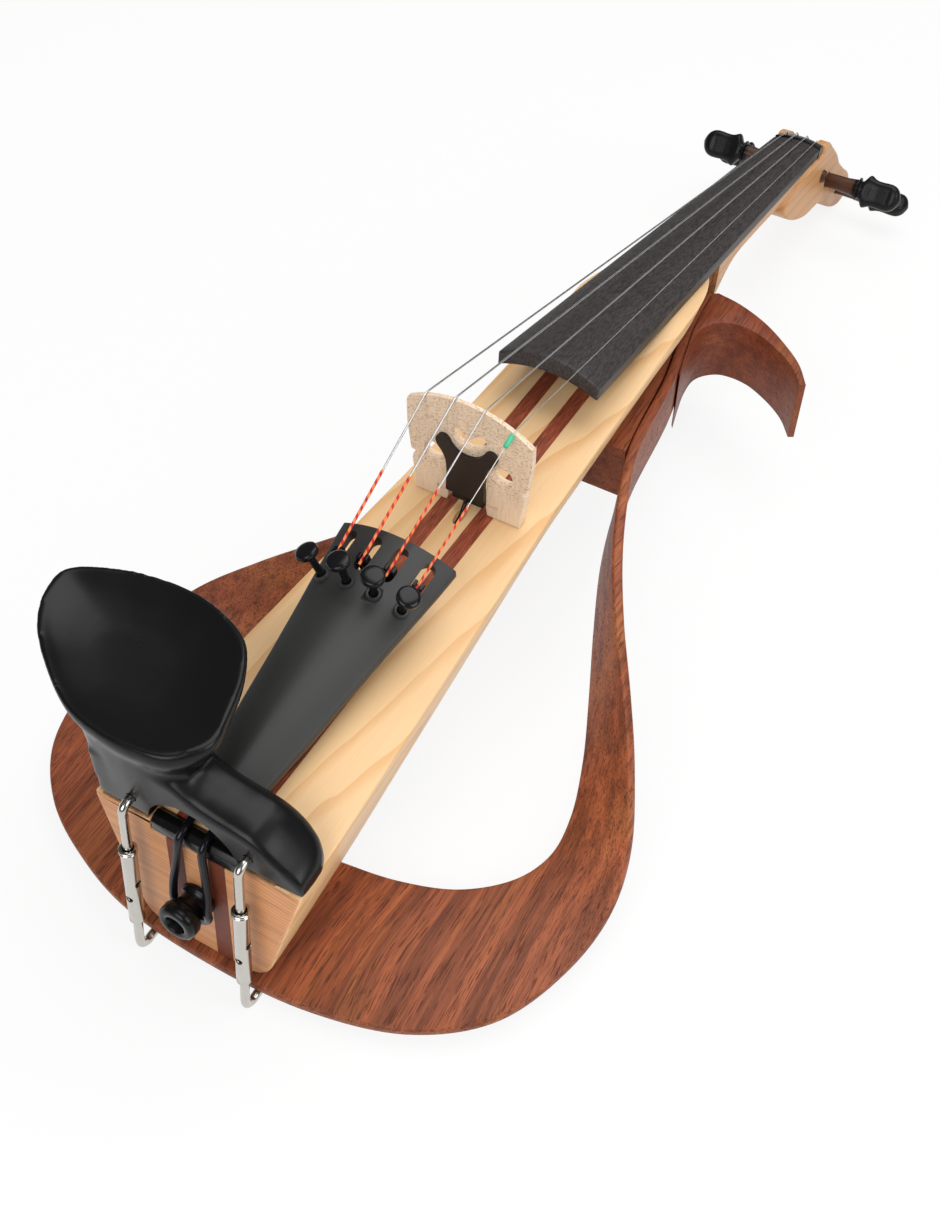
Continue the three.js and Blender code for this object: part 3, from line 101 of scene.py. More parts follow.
class SetUpSizes(bpy.types.PropertyGroup):
    string_length: size("String length", "From the nut to the bridge", 336.6)
    bridge_height: size("Bridge height", "Top of the bridge over the body", 46.5)
    bridge_lean: bpy.props.FloatProperty(
        name="Bridge lean", description="How far the bridge leans to the nut",
        default=math.radians(1.7), subtype="ANGLE", unit="ROTATION")
    bridge_thickness: size("Bridge thickness", "At the feet", 4.4)
    bridge_top: size("Bridge edge", "Thickness of the bridge under the strings", 1.6)
    bridge_spacing: size("Spacing at the bridge", "Between neighbouring strings", 11.3)
    nut_spacing: size("Spacing at the nut", "Between neighbouring strings", 5.4)
    board_end_height: size("Board height", "Crown of the board's wide end over the body", 24.8)
    board_tilt: bpy.props.FloatProperty(
        name="Board tilt", description="Slope of the fingerboard to the body's top",
        default=math.radians(11.34), subtype="ANGLE", unit="ROTATION")
    board_radius: size("Board radius", "Radius of the fingerboard's crown", 42)
    board_edge: size("Board edge", "Height of the fingerboard's sides", 4.8)
    board_end_half: size("Board half width", "At the wide end", 21)
    nut_half: size("Nut half width", "Half the width of the board at the nut", 12)
    nut_length: size("Nut length", "Along the neck", 5.5)


class BodySizes(bpy.types.PropertyGroup):
    behind_bridge: size("Behind the bridge", "From the bridge to the tail", 160)
    tail_width: size("Tail width", "Width of the body at the tail", 75)
    tail_depth: size("Tail depth", "Depth of the body at the tail", 54)
    stripe_width: size("Stripe width", "Width of each mahogany strip", 6)
    stripe_inner: size("Stripe place", "From the middle to each strip", 4.6)
    upstand: size("Upstand", "Thickness of the walnut plate at the neck", 6.3)
    arris: size("Edge", "Rounding of the body's edges", 1.4)
    bottom_round: size("Bottom round", "Rounding under the body", 9)
    saddle_width: size("Saddle width", "Across the tail", 32)


class WoodFrameSizes(bpy.types.PropertyGroup):
    frame_half: size("Frame half width", "Half the width of the walnut frame", 100)
    band: size("Band thickness", "Thickness of the bent walnut band", 4)
    band_round: size("Band edge", "Rounding of the band's edges", 1.25)


class ChinRestSizes(bpy.types.PropertyGroup):
    cup_half_length: size("Cup half length", "Across the violin", 42)
    cup_half_width: size("Cup half width", "Along the violin", 28)
    cup_height: size("Cup height", "Rim of the cup over the body", 39)
    rest_height: size("Bar height", "Height of the bar over the cork", 19)
    rest_depth: size("Bar depth", "Along the violin", 19)
    rest_bass: size("Bar, bass end", "From the middle of the body", 34.5)
    rest_treble: size("Bar, treble end", "From the middle of the body", 38.4)
    cork: size("Cork", "Thickness of the cork", 1.4)
    hook: size("Hook radius", "Radius of the clamp's wire", 1.5)
    clamp_lean: bpy.props.FloatProperty(
        name="Clamp lean", description="How far the clamps' legs lean off the square",
        default=math.radians(7.8), subtype="ANGLE", unit="ROTATION")


class FittingSizes(bpy.types.PropertyGroup):
    tuner_pitch: size("Tuner pitch", "Between neighbouring fine tuners", 9.9)
    setback: size("Setback", "From the bridge to the tailpiece", 46)
    front_height: size("Front height", "Tailpiece over the body at its front edge", 20.8)
    tailpiece_crown: size("Crown", "Rise of the tailpiece's arch", 6)
    tailpiece_wall: size("Wall", "Thickness of the tailpiece", 3)
    knob_radius: size("Knob radius", "Of a fine tuner", 3.9)
    head_length: size("Pegbox length", "Beyond the nut", 82)
    head_drop: size("Pegbox drop", "Below the fingerboard's plane", 54)


class Colours(bpy.types.PropertyGroup):
    maple: colour("Maple", "Body and neck", (0.86, 0.575, 0.305))
    maple_line: colour("Maple line", "Growth lines of the maple", (0.72, 0.37, 0.14))
    maple_end: colour("Maple end grain", "The tail face", (0.58, 0.27, 0.12))
    walnut: colour("Walnut", "The frame", (0.29, 0.078, 0.030))
    walnut_dark: colour("Dark walnut", "Dark streaks and pores", (0.052, 0.014, 0.008))
    walnut_streak: colour("Walnut streak", "Orange streaks", (0.44, 0.150, 0.048))
    mahogany: colour("Mahogany", "The two strips in the body", (0.235, 0.055, 0.026))
    bridge: colour("Bridge", "Pale maple of the bridge", (0.86, 0.68, 0.50))
    black: colour("Black", "Chin rest and other satin black pieces", (0.0055, 0.0055, 0.006))
    tailpiece: colour("Tailpiece", "Matt dark grey", (0.030, 0.030, 0.029))
    board: colour("Fingerboard", "Dark brown-grey", (0.040, 0.034, 0.033))
    nickel: colour("Nickel", "Clamps and socket", (0.60, 0.575, 0.53))
    silk: colour("Silk", "Wrapping at the tail of the strings", (0.60, 0.018, 0.030))
    silk_light: colour("Silk, light", "Second thread of the wrapping", (0.92, 0.25, 0.06))


GROUPS = {
    "violin_set_up": SetUpSizes, "violin_body": BodySizes, "violin_frame": WoodFrameSizes,
    "violin_rest": ChinRestSizes, "violin_fittings": FittingSizes,
}


# Numbers

def read(table, place, spread=0.0):
    """A table of (place, value) pairs read at a place, with its corners eased over a spread."""
    at, value = zip(*table)
    return float(np.interp(place + spread * np.linspace(-1, 1, 9), at, value).mean())


def lerp(a, b, share):
    return a + (b - a) * share


def curve_through(points, places, closed=False):
    """Places from 0 to 1 along a smooth curve through points."""
    points = np.asarray(points, float)
    if closed:
        chain = np.vstack([points[-1:], points, points[:2]])
    else:
        chain = np.vstack([2 * points[:1] - points[1:2], points, 2 * points[-1:] - points[-2:-1]])
    spans = len(chain) - 3
    found = []
    for place in places:
        i = min(int(place * spans), spans - 1)
        t = place * spans - i
        a, b, c, d = chain[i:i + 4]
        ab, bc, cd = (max(math.sqrt(np.linalg.norm(e)), 1e-4) for e in (b - a, c - b, d - c))
        out = ((b - a) / ab - (c - a) / (ab + bc) + (c - b) / bc) * bc
        into = ((c - b) / bc - (d - b) / (bc + cd) + (d - c) / cd) * bc
        found.append(b + out * t + (3 * (c - b) - 2 * out - into) * t ** 2
                     + (2 * (b - c) + out + into) * t ** 3)
    return np.array(found)


def frame_at(place, tilt=0.0):
    return Matrix.Translation(place) @ Matrix.Rotation(tilt, 4, "X")


def through(matrix, points):
    """Points taken through a 4 x 4 matrix."""
    points = np.asarray(points, float)
    whole = np.array(matrix)
    return points @ whole[:3, :3].T + whole[:3, 3]


# Meshes: a shell is (points, faces) in millimetres

def loft(rings, caps=True, loop=False):
    """A skin through rings of equally many points; loop closes the last ring on the first."""
    rings = np.asarray(rings, float)
    count, sides = rings.shape[:2]
    faces = []
    for r in range(count if loop else count - 1):
        here, there = r * sides, (r + 1) % count * sides
        for i in range(sides):
            j = (i + 1) % sides
            faces.append((here + i, here + j, there + j, there + i))
    if caps and not loop:
        faces.append(tuple(range(sides))[::-1])
        faces.append(tuple((count - 1) * sides + i for i in range(sides)))
    return rings.reshape(-1, 3), faces


def merged(*shells):
    points, faces, start = [], [], 0
    for shell_points, shell_faces in shells:
        points.append(np.asarray(shell_points, float))
        faces += [tuple(start + i for i in face) for face in shell_faces]
        start += len(shell_points)
    return np.vstack(points), faces


def moved(matrix, shell):
    return through(matrix, shell[0]), shell[1]


def box(x0, x1, y0, y1, z0, z1):
    ring = [(x0, y0), (x1, y0), (x1, y1), (x0, y1)]
    return loft([[(x, y, z) for x, y in ring] for z in (z0, z1)])


def turned(profile, place=(0, 0, 0), direction=(0, 0, 1), sides=40):
    """A turned piece from (radius, height) pairs; a profile off the axis closes on itself."""
    angles = np.arange(sides) / sides * 2 * math.pi
    rings = [[(r * math.cos(a), r * math.sin(a), h) for a in angles] for r, h in profile]
    hollow = min(profile[0][0], profile[-1][0]) > 0
    shell = loft(rings, caps=False, loop=hollow)
    turn = Vector((0, 0, 1)).rotation_difference(Vector(direction)).to_matrix().to_4x4()
    return moved(Matrix.Translation(Vector(place)) @ turn, shell)


def rod(radius, length):
    return [(0, 0), (radius, 0), (radius, length), (0, length)]


def across(outline, x0, x1):
    """An outline of (y, z) pairs run across the violin."""
    return loft([[(x, y, z) for y, z in outline] for x in (x0, x1)])


def upright(outline, z0, z1):
    """An outline of (x, y) pairs run from z0 to z1."""
    return loft([[(x, y, z) for x, y in outline] for z in (z0, z1)])


def tube(points, radius, sides=16):
    """A round wire through points; a radius for each point makes it swell and taper."""
    points = np.asarray(points, float)
    radii = np.broadcast_to(radius, len(points))
    side, rings = None, []
    for i, point in enumerate(points):
        along = points[min(i + 1, len(points) - 1)] - points[max(i - 1, 0)]
        along /= np.linalg.norm(along)
        if side is None:
            side = np.array((1.0, 0, 0)) if abs(along[0]) < 0.7 else np.array((0, 0, 1.0))
        side = side - along * side.dot(along)
        side /= np.linalg.norm(side)
        up = np.cross(along, side)
        angles = np.arange(sides) / sides * 2 * math.pi
        rings.append([point + radii[i] * (side * math.cos(a) + up * math.sin(a)) for a in angles])
    return loft(rings)


def bent(points, radius, steps=60, sides=16):
    return tube(curve_through(points, np.linspace(0, 1, steps)), radius, sides)


def linked(name, data):
    """A new object of the scene."""
    thing = bpy.data.objects.new(name, data)
    bpy.context.scene.collection.objects.link(thing)
    return thing


def mesh_object(name, shell, matrix=Matrix.Identity(4)):
    """An object at the origin, with its place in its mesh, in metres."""
    points, faces = shell
    mesh = bpy.data.meshes.new(name)
    mesh.from_pydata(through(VIOLIN @ matrix, points).tolist(), [], faces)
    work = bmesh.new()
    work.from_mesh(mesh)
    bmesh.ops.remove_doubles(work, verts=work.verts, dist=MM * 1e-3)
    bmesh.ops.recalc_face_normals(work, faces=work.faces)
    work.to_mesh(mesh)
    work.free()
    return linked(name, mesh)


def worked(piece, *steps):
    """Applies modifiers, given as (type, settings), to a piece's mesh for good."""
    for kind, settings in steps:
        modifier = piece.modifiers.new(kind.title(), kind)
        for key, value in settings.items():
            setattr(modifier, key, value)
    depsgraph = bpy.context.evaluated_depsgraph_get()
    mesh = bpy.data.meshes.new_from_object(
        piece.evaluated_get(depsgraph), preserve_all_data_layers=True, depsgraph=depsgraph)
    piece.modifiers.clear()
    old, piece.data = piece.data, mesh
    bpy.data.meshes.remove(old)
    return piece


def made_screw(node, profile, place, slot, matrix=Matrix.Identity(4), sides=40):
    """A countersunk screw whose crossed slot is given as half its length, half its width and depth."""
    piece = mesh_object(node + "_finished", turned(profile, place, sides=sides), matrix)
    long, wide, deep = slot
    carved(piece, box(-long, long, -wide, wide, -OVERRUN, deep),
           box(-wide, wide, -long, long, -OVERRUN, deep), matrix=matrix @ Matrix.Translation(place))
    placed(node, piece)


def removed(piece):
    """Takes a helper object and its mesh out of the scene."""
    mesh = piece.data
    bpy.data.objects.remove(piece)
    bpy.data.meshes.remove(mesh)


def carved(piece, *shells, matrix=Matrix.Identity(4), operation="DIFFERENCE"):
    for shell in shells:
        tool = mesh_object("tool", shell, matrix)
        worked(piece, ("BOOLEAN", {"operation": operation, "object": tool, "solver": "EXACT"}))
        removed(tool)
    return piece


def edges_eased(mm, segments=2, degrees=40):
    return ("BEVEL", {"width": mm * MM, "segments": segments, "limit_method": "ANGLE",
                      "angle_limit": math.radians(degrees)})


def fused(mm, passes):
    """One soft skin over shells that run into each other."""
    return (("REMESH", {"mode": "VOXEL", "voxel_size": mm * MM, "use_smooth_shade": True}),
            ("SMOOTH", {"factor": 0.5, "iterations": passes}))


def placed(node, piece, sharp=35):
    """Shades a piece, gives it the node's finish and body, and lets it stand for the node."""
    mesh = piece.data
    mesh.polygons.foreach_set("use_smooth", [True] * len(mesh.polygons))
    mesh.set_sharp_from_angle(angle=math.radians(sharp))
    mesh.materials.clear()
    mesh.materials.append(finish_for(node))
    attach(piece, BODY_OF[node])
    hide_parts(node)
    return piece


def made(node, shell, matrix=Matrix.Identity(4), ease=0.0, sharp=35):
    """A piece straight from its shell, with its sharp edges eased by so many millimetres."""
    piece = mesh_object(node + "_finished", shell, matrix)
    return placed(node, worked(piece, edges_eased(ease)) if ease else piece, sharp)


# Layout that every group of pieces shares

# Lengths of the fingerboard and the neck as shares of the string length
BOARD_SHARE = 0.818
NECK_SHARE = 0.417
# The body's half width and depth: share of its length from the tail, share of the tail's size
HALF_WIDTH_SHARES = [(0, 1), (0.523, 0.733), (0.785, 0.667), (0.881, 0.656), (0.93, 0.615),
                     (0.965, 0.55), (0.99, 0.48), (1, 0.42)]
DEPTH_SHARES = [(0, 1), (0.116, 1), (0.49, 0.39), (1, 0.39)]
# Slopes of the body: its sides, its tail face, and its front from a share of the length
SIDE_LEAN = 0.27
TAIL_LEAN = 0.106
FRONT_LEAN = 0.35
FRONT_LEAN_FROM = 0.881
CONTROL_SHARE = 0.225
# Neck block, frame screws, control cover and cavity, and the way of the pickup lead
BLOCK_HALF = 13
FRAME_SCREW_X, FRAME_SCREW_SHARE = 14, 0.9
COVER_HALF_WIDTH, COVER_HALF_LENGTH, COVER_THICKNESS = 12.5, 32, 2
COVER_SCREW_Y = 29
CAVITY = (9.5, 23, 27)
LEAD_SETBACK, LEAD_BORE = 6.5, 1.8
LEAD_EXIT = (0, 20, 16.2)
# Saddle, end button, the clamps' legs behind the tail, and the nut over the board
SADDLE_SINK = 4
SADDLE_LENGTH = 5.5
BUTTON_SHANK, BUTTON_DEPTH, BUTTON_Z = 3.8, 24, -26
LEG_STANDOFF = 5.8
NUT_LIFT = 0.6


def layout():
    """The sizes in millimetres, and the places that follow from them."""
    p = SimpleNamespace()
    for group in GROUPS:
        values = getattr(bpy.context.scene, group)
        for prop in values.bl_rna.properties:
            if prop.identifier not in ("rna_type", "name"):
                scale = 1 / MM if prop.unit == "LENGTH" else 1
                setattr(p, prop.identifier, getattr(values, prop.identifier) * scale)
    p.board_length = p.string_length * BOARD_SHARE
    p.neck_length = p.string_length * NECK_SHARE
    p.nut_z = p.board_end_height - p.board_length * math.sin(p.board_tilt)
    p.nut_y = math.sqrt(p.string_length ** 2 - (p.bridge_height - p.nut_z) ** 2)
    p.heel_y = p.nut_y - p.neck_length * math.cos(p.board_tilt)
    p.body_front = p.heel_y - p.upstand
    p.body_length = p.behind_bridge + p.body_front
    p.neck = frame_at((0, p.nut_y, p.nut_z), -p.board_tilt)
    p.bridge = frame_at((0, 0, 0), -p.bridge_lean)
    p.band_drop = p.tail_depth + GAP + p.band / 2
    p.tail_plane = lambda z: TAIL_LEAN * z - p.behind_bridge
    p.half_width = lambda y: p.tail_width / 2 * read(
        HALF_WIDTH_SHARES, (y + p.behind_bridge) / p.body_length, 0.018)
    p.depth = lambda y: p.tail_depth * read(
        DEPTH_SHARES, (y + p.behind_bridge) / p.body_length, 0.03)
    p.drop = lambda x: p.board_radius - math.sqrt(p.board_radius ** 2 - x ** 2)
    p.under = lambda s: lerp(-p.drop(p.nut_half), -p.drop(p.board_end_half),
                             max(0, -s / p.board_length)) - p.board_edge
    p.board_half = lambda s: lerp(p.nut_half, p.board_end_half, -s / p.board_length)
    slope_from, slope_to = DEPTH_SHARES[1:3]
    p.control_slope = math.atan2(p.tail_depth * (slope_from[1] - slope_to[1]),
                                 p.body_length * (slope_to[0] - slope_from[0]))
    control_y = CONTROL_SHARE * p.body_length - p.behind_bridge
    fall = (CONTROL_SHARE - slope_from[0]) / (slope_to[0] - slope_from[0])
    p.control = frame_at((0, control_y, -p.tail_depth * lerp(slope_from[1], slope_to[1], fall)),
                         p.control_slope)
    p.saddle_front = SADDLE_LENGTH - p.behind_bridge
    p.tail_slope = math.atan(0.152)
    p.tailpiece_length = (-p.saddle_front - 2.6 - p.setback) / math.cos(p.tail_slope)
    p.tailpiece = frame_at((0, -p.setback, p.front_height), p.tail_slope)
    p.tailpiece_half = p.tuner_pitch * 1.5 + 6.6
    p.tuner = {}
    for string in STRINGS:
        x = ORDER[string] * p.tuner_pitch
        rise = p.tailpiece_crown * (1 - (x / p.tailpiece_half) ** 2)
        lean = math.atan(2 * p.tailpiece_crown * x / p.tailpiece_half ** 2)
        p.tuner[string] = p.tailpiece @ Matrix.Translation((x, 0, rise)) @ Matrix.Rotation(lean, 4, "Y")
    p.arch_half = p.saddle_width / 2 + GAP * 1.5
    p.clamp_half = p.arch_half + p.hook + 2.6
    p.rest_back = -p.behind_bridge
    p.clamp = frame_at((0, p.rest_back - LEG_STANDOFF, 0), -p.clamp_lean)
    p.button_out = Vector((0, -1, TAIL_LEAN)).normalized()
    p.button_seat = Vector((0, p.tail_plane(BUTTON_Z), BUTTON_Z))
    p.frame_screws = [Vector((side * FRAME_SCREW_X, -p.behind_bridge * FRAME_SCREW_SHARE,
                              -p.band_drop - p.band / 2)) for side in (-1, 1)]
    p.lead_entry = Vector((0, -LEAD_SETBACK, 0))
    p.lead_exit = p.control @ Vector(LEAD_EXIT)
    p.head_half = p.nut_half + 1
    p.peg_tail = p.nut_half + 3
    return p


def board_room(p):
    """The room that the fingerboard and the nut take out of the pieces under them."""
    end = p.nut_length + GAP
    return across([(-p.board_length, p.under(-p.board_length) - GAP), (0, p.under(0) - GAP),
                   (end, p.under(0) - GAP), (end, OVERRUN), (-p.board_length, OVERRUN)],
                  -REACH, REACH)


# Shader maths

def signed(operation, reflected=False):
    """A sign that adds its Math node; its reflected form takes the other value first."""
    def sign(self, other):
        return self.maths(operation, *((other, self) if reflected else (self, other)))
    return sign


class Sum:
    """A shader socket that takes part in Python sums."""

    def __init__(self, paint, socket):
        self.paint, self.socket = paint, socket

    def maths(self, operation, *values):
        return self.paint.add("ShaderNodeMath", {"operation": operation}, dict(enumerate(values)))

    __add__, __radd__ = signed("ADD"), signed("ADD", True)
    __sub__, __rsub__ = signed("SUBTRACT"), signed("SUBTRACT", True)
    __mul__, __rmul__ = signed("MULTIPLY"), signed("MULTIPLY", True)
    __truediv__, __rtruediv__ = signed("DIVIDE"), signed("DIVIDE", True)
    __pow__, __rpow__ = signed("POWER"), signed("POWER", True)

    def __mod__(self, other):
        return self.maths("WRAP", self, other, 0)

    def __abs__(self):
        return self.maths("ABSOLUTE", self)


class Paint:
    """A material under construction, with the violin's own millimetres to draw in."""

    def __init__(self, name, **constants):
        self.material = bpy.data.materials.new(name)
        self.material.use_nodes = True
        self.tree = self.material.node_tree
        self.tree.nodes.clear()
        self.surface = self.node("ShaderNodeBsdfPrincipled", sockets=constants)
        self.output = self.node("ShaderNodeOutputMaterial")
        self.tree.links.new(self.surface.outputs[0], self.output.inputs["Surface"])
        self._place = None

    def node(self, kind, settings=None, sockets=None):
        node = self.tree.nodes.new(kind)
        for key, value in (settings or {}).items():
            if key == "stops":
                ramp = node.color_ramp
                while len(ramp.elements) < len(value):
                    ramp.elements.new(0.5)
                for element, (position, shade) in zip(ramp.elements, value):
                    element.position, element.color = position, shade
            else:
                setattr(node, key, value)
        for key, value in (sockets or {}).items():
            if isinstance(value, Sum):
                self.tree.links.new(value.socket, node.inputs[key])
            else:
                node.inputs[key].default_value = value
        return node

    def add(self, kind, settings=None, sockets=None, output=0):
        return Sum(self, self.node(kind, settings, sockets).outputs[output])

    def set(self, **sockets):
        """Feeds what changes over the surface; a name's underscores stand for spaces."""
        for key, value in sockets.items():
            self.tree.links.new(value.socket, self.surface.inputs[key.replace("_", " ")])
        return self

    def finished(self, base, rough, height, mm, strength, **more):
        """The material with its colour, its roughness and a bump of so many millimetres."""
        normal = self.bump(height, mm, strength)
        return self.set(Base_Color=base, Roughness=rough, Normal=normal, **more).material

    def facing_tail(self):
        """1 where the surface faces the tail, and 0 elsewhere."""
        return self.step(self.parts(self.add("ShaderNodeTexCoord", output=1))[1], -0.55, -0.8)

    @property
    def place(self):
        """Millimetres in the violin's frame."""
        if self._place is None:
            turn = VIOLIN.inverted()
            self._place = self.add("ShaderNodeMapping", {"vector_type": "POINT"}, {
                "Vector": self.add("ShaderNodeTexCoord", output=3),
                "Location": turn.to_translation(), "Rotation": turn.to_euler(),
                "Scale": (1 / MM,) * 3})
        return self._place

    def parts(self, vector=None):
        node = self.node("ShaderNodeSeparateXYZ", sockets={0: vector or self.place})
        return [Sum(self, node.outputs[i]) for i in range(3)]

    def vector(self, x, y, z):
        return self.add("ShaderNodeCombineXYZ", sockets={0: x, 1: y, 2: z})

    def noise(self, per_mm, place=None, detail=2.0, rough=0.5, distortion=0.0):
        """Noise with so many swells to the millimetre along x, y and z."""
        at = self.add("ShaderNodeVectorMath", {"operation": "MULTIPLY"},
                      {0: place or self.place, 1: per_mm})
        return self.add("ShaderNodeTexNoise", {"noise_dimensions": "3D"}, {
            "Vector": at, "Scale": 1.0, "Detail": detail, "Roughness": rough,
            "Distortion": distortion})

    def step(self, value, low, high):
        """0 below low, 1 above high, and smooth between them; a low over high turns it round."""
        return self.add("ShaderNodeMapRange", {"interpolation_type": "SMOOTHSTEP"},
                        {"Value": value, "From Min": low, "From Max": high})

    def mix(self, share, a, b):
        four = [v if isinstance(v, Sum) else (*v, 1.0) for v in (a, b)]
        return self.add("ShaderNodeMix", {"data_type": "RGBA"}, {0: share, 6: four[0], 7: four[1]},
                        output=2)

    def bump(self, height, mm, strength=1.0):
        return self.add("ShaderNodeBump", sockets={
            "Height": height, "Distance": mm * MM, "Strength": strength})


def shade(rgb, factor):
    return tuple(min(1.0, channel * factor) for channel in rgb)


# Finishes

def maple_finish(name, c, tone=1.0, spacing=9.0, end_grain=True, warmth=1.0):
    """Pale maple with wandering growth lines; the tail face shows its end grain."""
    paint = Paint(name, **{"Coat Weight": 0.06, "Coat Roughness": 0.25, "Specular IOR Level": 0.25})
    x, y, z = paint.parts()
    wander = paint.noise((0.03, 0.006, 0.03), detail=1.5) * 16 + paint.noise(
        (0.18, 0.02, 0.18), detail=1) * 2.4
    across_rings = ((x - 52) ** 2 + (z * 1.1 + y * 0.17 + 46) ** 2) ** 0.5 + wander
    ring = across_rings / spacing % 1
    late = paint.step(ring, 0.60, 0.975) * paint.step(ring, 1.0, 0.975)
    fibre = paint.noise((1.5, 0.035, 1.5), detail=3)
    line_fine = paint.noise((3.2, 0.02, 3.2), detail=2)
    cloud = paint.noise((0.02, 0.008, 0.05), detail=2)
    light, line = ((tone * r, tone * warmth * g, tone * warmth ** 2 * b)
                   for r, g, b in (c.maple, c.maple_line))
    base = paint.mix(late * 0.62 + paint.step(fibre, 0.42, 0.72) * 0.12, light, line)
    base = paint.mix(paint.step(line_fine, 0.5, 0.68) * 0.14, base, shade(line, 1.05))
    base = paint.mix(paint.step(cloud, 0.45, 0.72) * 0.3, base, shade(light, 0.90))
    rough = 0.36 + fibre * 0.12
    if end_grain:
        tail = paint.facing_tail()
        depth = z + x * 0.16 + paint.noise((0.05, 0.05, 0.05), detail=1) * 5
        layer = paint.step(abs((depth / 1.6) % 1 - 0.5), 0.1, 0.42)
        coarse = paint.noise((0.03, 1, 0.4), detail=3)
        end = paint.mix(layer * 0.34 + paint.step(coarse, 0.38, 0.68) * 0.36,
                        shade(c.maple_end, 1.25), shade(c.maple_end, 0.66))
        base = paint.mix(tail, base, end)
    return paint.finished(base, rough, fibre, 0.05, 0.25)


def walnut_finish(name, c):
    """Red-brown open-pored walnut; its grain runs along the violin everywhere."""
    paint = Paint(name, **{"Specular IOR Level": 0.28})
    x, y, z = paint.parts()
    sway = paint.noise((0.012, 0.008, 0.012), detail=1) - 0.5
    bent_place = paint.vector(x + sway * 26, y, z + sway * 14)
    band = paint.noise((0.055, 0.0032, 0.07), bent_place, detail=2, rough=0.5)
    streak = paint.noise((0.16, 0.0050, 0.20), bent_place, detail=4, rough=0.62)
    vein = paint.noise((0.62, 0.011, 0.62), bent_place, detail=4, rough=0.62)
    fibre = paint.noise((2.1, 0.045, 2.1), bent_place, detail=3, rough=0.62)
    pore_field = paint.noise((2.1, 0.10, 2.1), bent_place, detail=2, rough=0.5)
    base = paint.mix(paint.step(streak, 0.34, 0.66), shade(c.walnut, 0.66), shade(c.walnut, 1.36))
    base = paint.mix(paint.step(band, 0.47, 0.66) * 0.62, base, c.walnut_streak)
    base = paint.mix(paint.step(vein, 0.50, 0.68) * 0.55, base, shade(c.walnut_dark, 1.7))
    base = paint.mix(paint.step(vein, 0.46, 0.30) * 0.42, base, shade(c.walnut_streak, 0.95))
    base = paint.mix(paint.step(fibre, 0.48, 0.66) * 0.46, base, shade(c.walnut_dark, 1.35))
    pores = paint.step(pore_field, 0.57, 0.635)
    base = paint.mix(pores * 0.62, base, c.walnut_dark)
    # The walnut turns darker and redder towards the neck end and on the bass side.
    neckward_and_bass_darkening = paint.step(y, 30, 130) * 0.42 + paint.step(x, -40, -80) * 0.18
    base = paint.mix(neckward_and_bass_darkening, base, (0.120, 0.021, 0.012))
    height = 1 - pores * 0.8 - paint.step(fibre, 0.4, 0.75) * 0.35
    rough = 0.38 + fibre * 0.16 + pores * 0.2
    return paint.finished(base, rough, height, 0.10, 0.5)


def mahogany_finish(name, c):
    """Red-brown strips with short pale flecks along the grain."""
    paint = Paint(name, **{"Specular IOR Level": 0.25})
    fleck = paint.noise((2.3, 0.13, 2.3), detail=2, rough=0.55)
    pore = paint.noise((2.9, 0.11, 2.9), detail=2, rough=0.5)
    cloud = paint.noise((0.08, 0.02, 0.08), detail=2)
    base = paint.mix(cloud, shade(c.mahogany, 0.8), shade(c.mahogany, 1.45))
    base = paint.mix(paint.step(fleck, 0.50, 0.64) * 0.62, base, shade(c.mahogany, 2.5))
    base = paint.mix(paint.step(pore, 0.54, 0.64) * 0.72, base, shade(c.mahogany, 0.28))
    base = paint.mix(paint.facing_tail(), base, paint.mix(
        paint.noise((0.5, 1, 0.5), detail=3), shade(c.mahogany, 0.5), shade(c.mahogany, 0.85)))
    return paint.finished(base, 0.40 + pore * 0.16, pore, 0.06, 0.4)


def black_finish(name, base_colour, roughness, spread=0.05, specular=0.3):
    """Satin black: a fine orange peel, a little cloud in the gloss and faint handling marks."""
    paint = Paint(name, **{"Specular IOR Level": specular})
    peel = paint.noise((1.1, 1.1, 1.1), detail=2)
    cloud = paint.noise((0.045, 0.03, 0.045), detail=3)
    marks = paint.noise((0.9, 0.06, 0.9), detail=3, rough=0.6)
    base = paint.mix(cloud * 0.5, shade(base_colour, 0.85), shade(base_colour, 1.5))
    rough = roughness + (cloud - 0.5) * spread * 2 + marks * spread
    return paint.finished(base, rough, peel, 0.012, 0.4)


def metal_finish(name, base_colour, roughness):
    """Plated or drawn metal with fine drawing lines and clouds in its polish."""
    paint = Paint(name, **{"Metallic": 1.0})
    line = paint.noise((0.3, 0.3, 0.3), detail=2)
    cloud = paint.noise((0.12, 0.12, 0.12), detail=3)
    base = paint.mix(cloud, shade(base_colour, 0.88), shade(base_colour, 1.05))
    return paint.finished(base, roughness + line * 0.10 + cloud * 0.05, line, 0.004, 0.2)


def bridge_finish(name, c):
    """Pale maple with fine dark flecks across the bridge, and upright lines in its legs."""
    paint = Paint(name, **{"IOR": 1.45})
    z = paint.parts()[2]
    fleck = paint.noise((0.85, 2.2, 2.3), detail=2.0, rough=0.5)
    upright_lines = paint.noise((1.9, 2.2, 0.10), detail=2.0, rough=0.5)
    spread = paint.noise((0.08, 0.08, 0.08), detail=2)
    dots = paint.step(fleck, 0.53, 0.62) * paint.step(z, 6, 16)
    base = paint.mix(spread, shade(c.bridge, 0.95), shade(c.bridge, 1.08))
    base = paint.mix(paint.step(upright_lines, 0.5, 0.66) * 0.22, base, (0.52, 0.34, 0.22))
    base = paint.mix(dots * 0.62, base, (0.44, 0.27, 0.165))
    return paint.finished(base, 0.5 + fleck * 0.15, fleck, 0.04, 0.3)


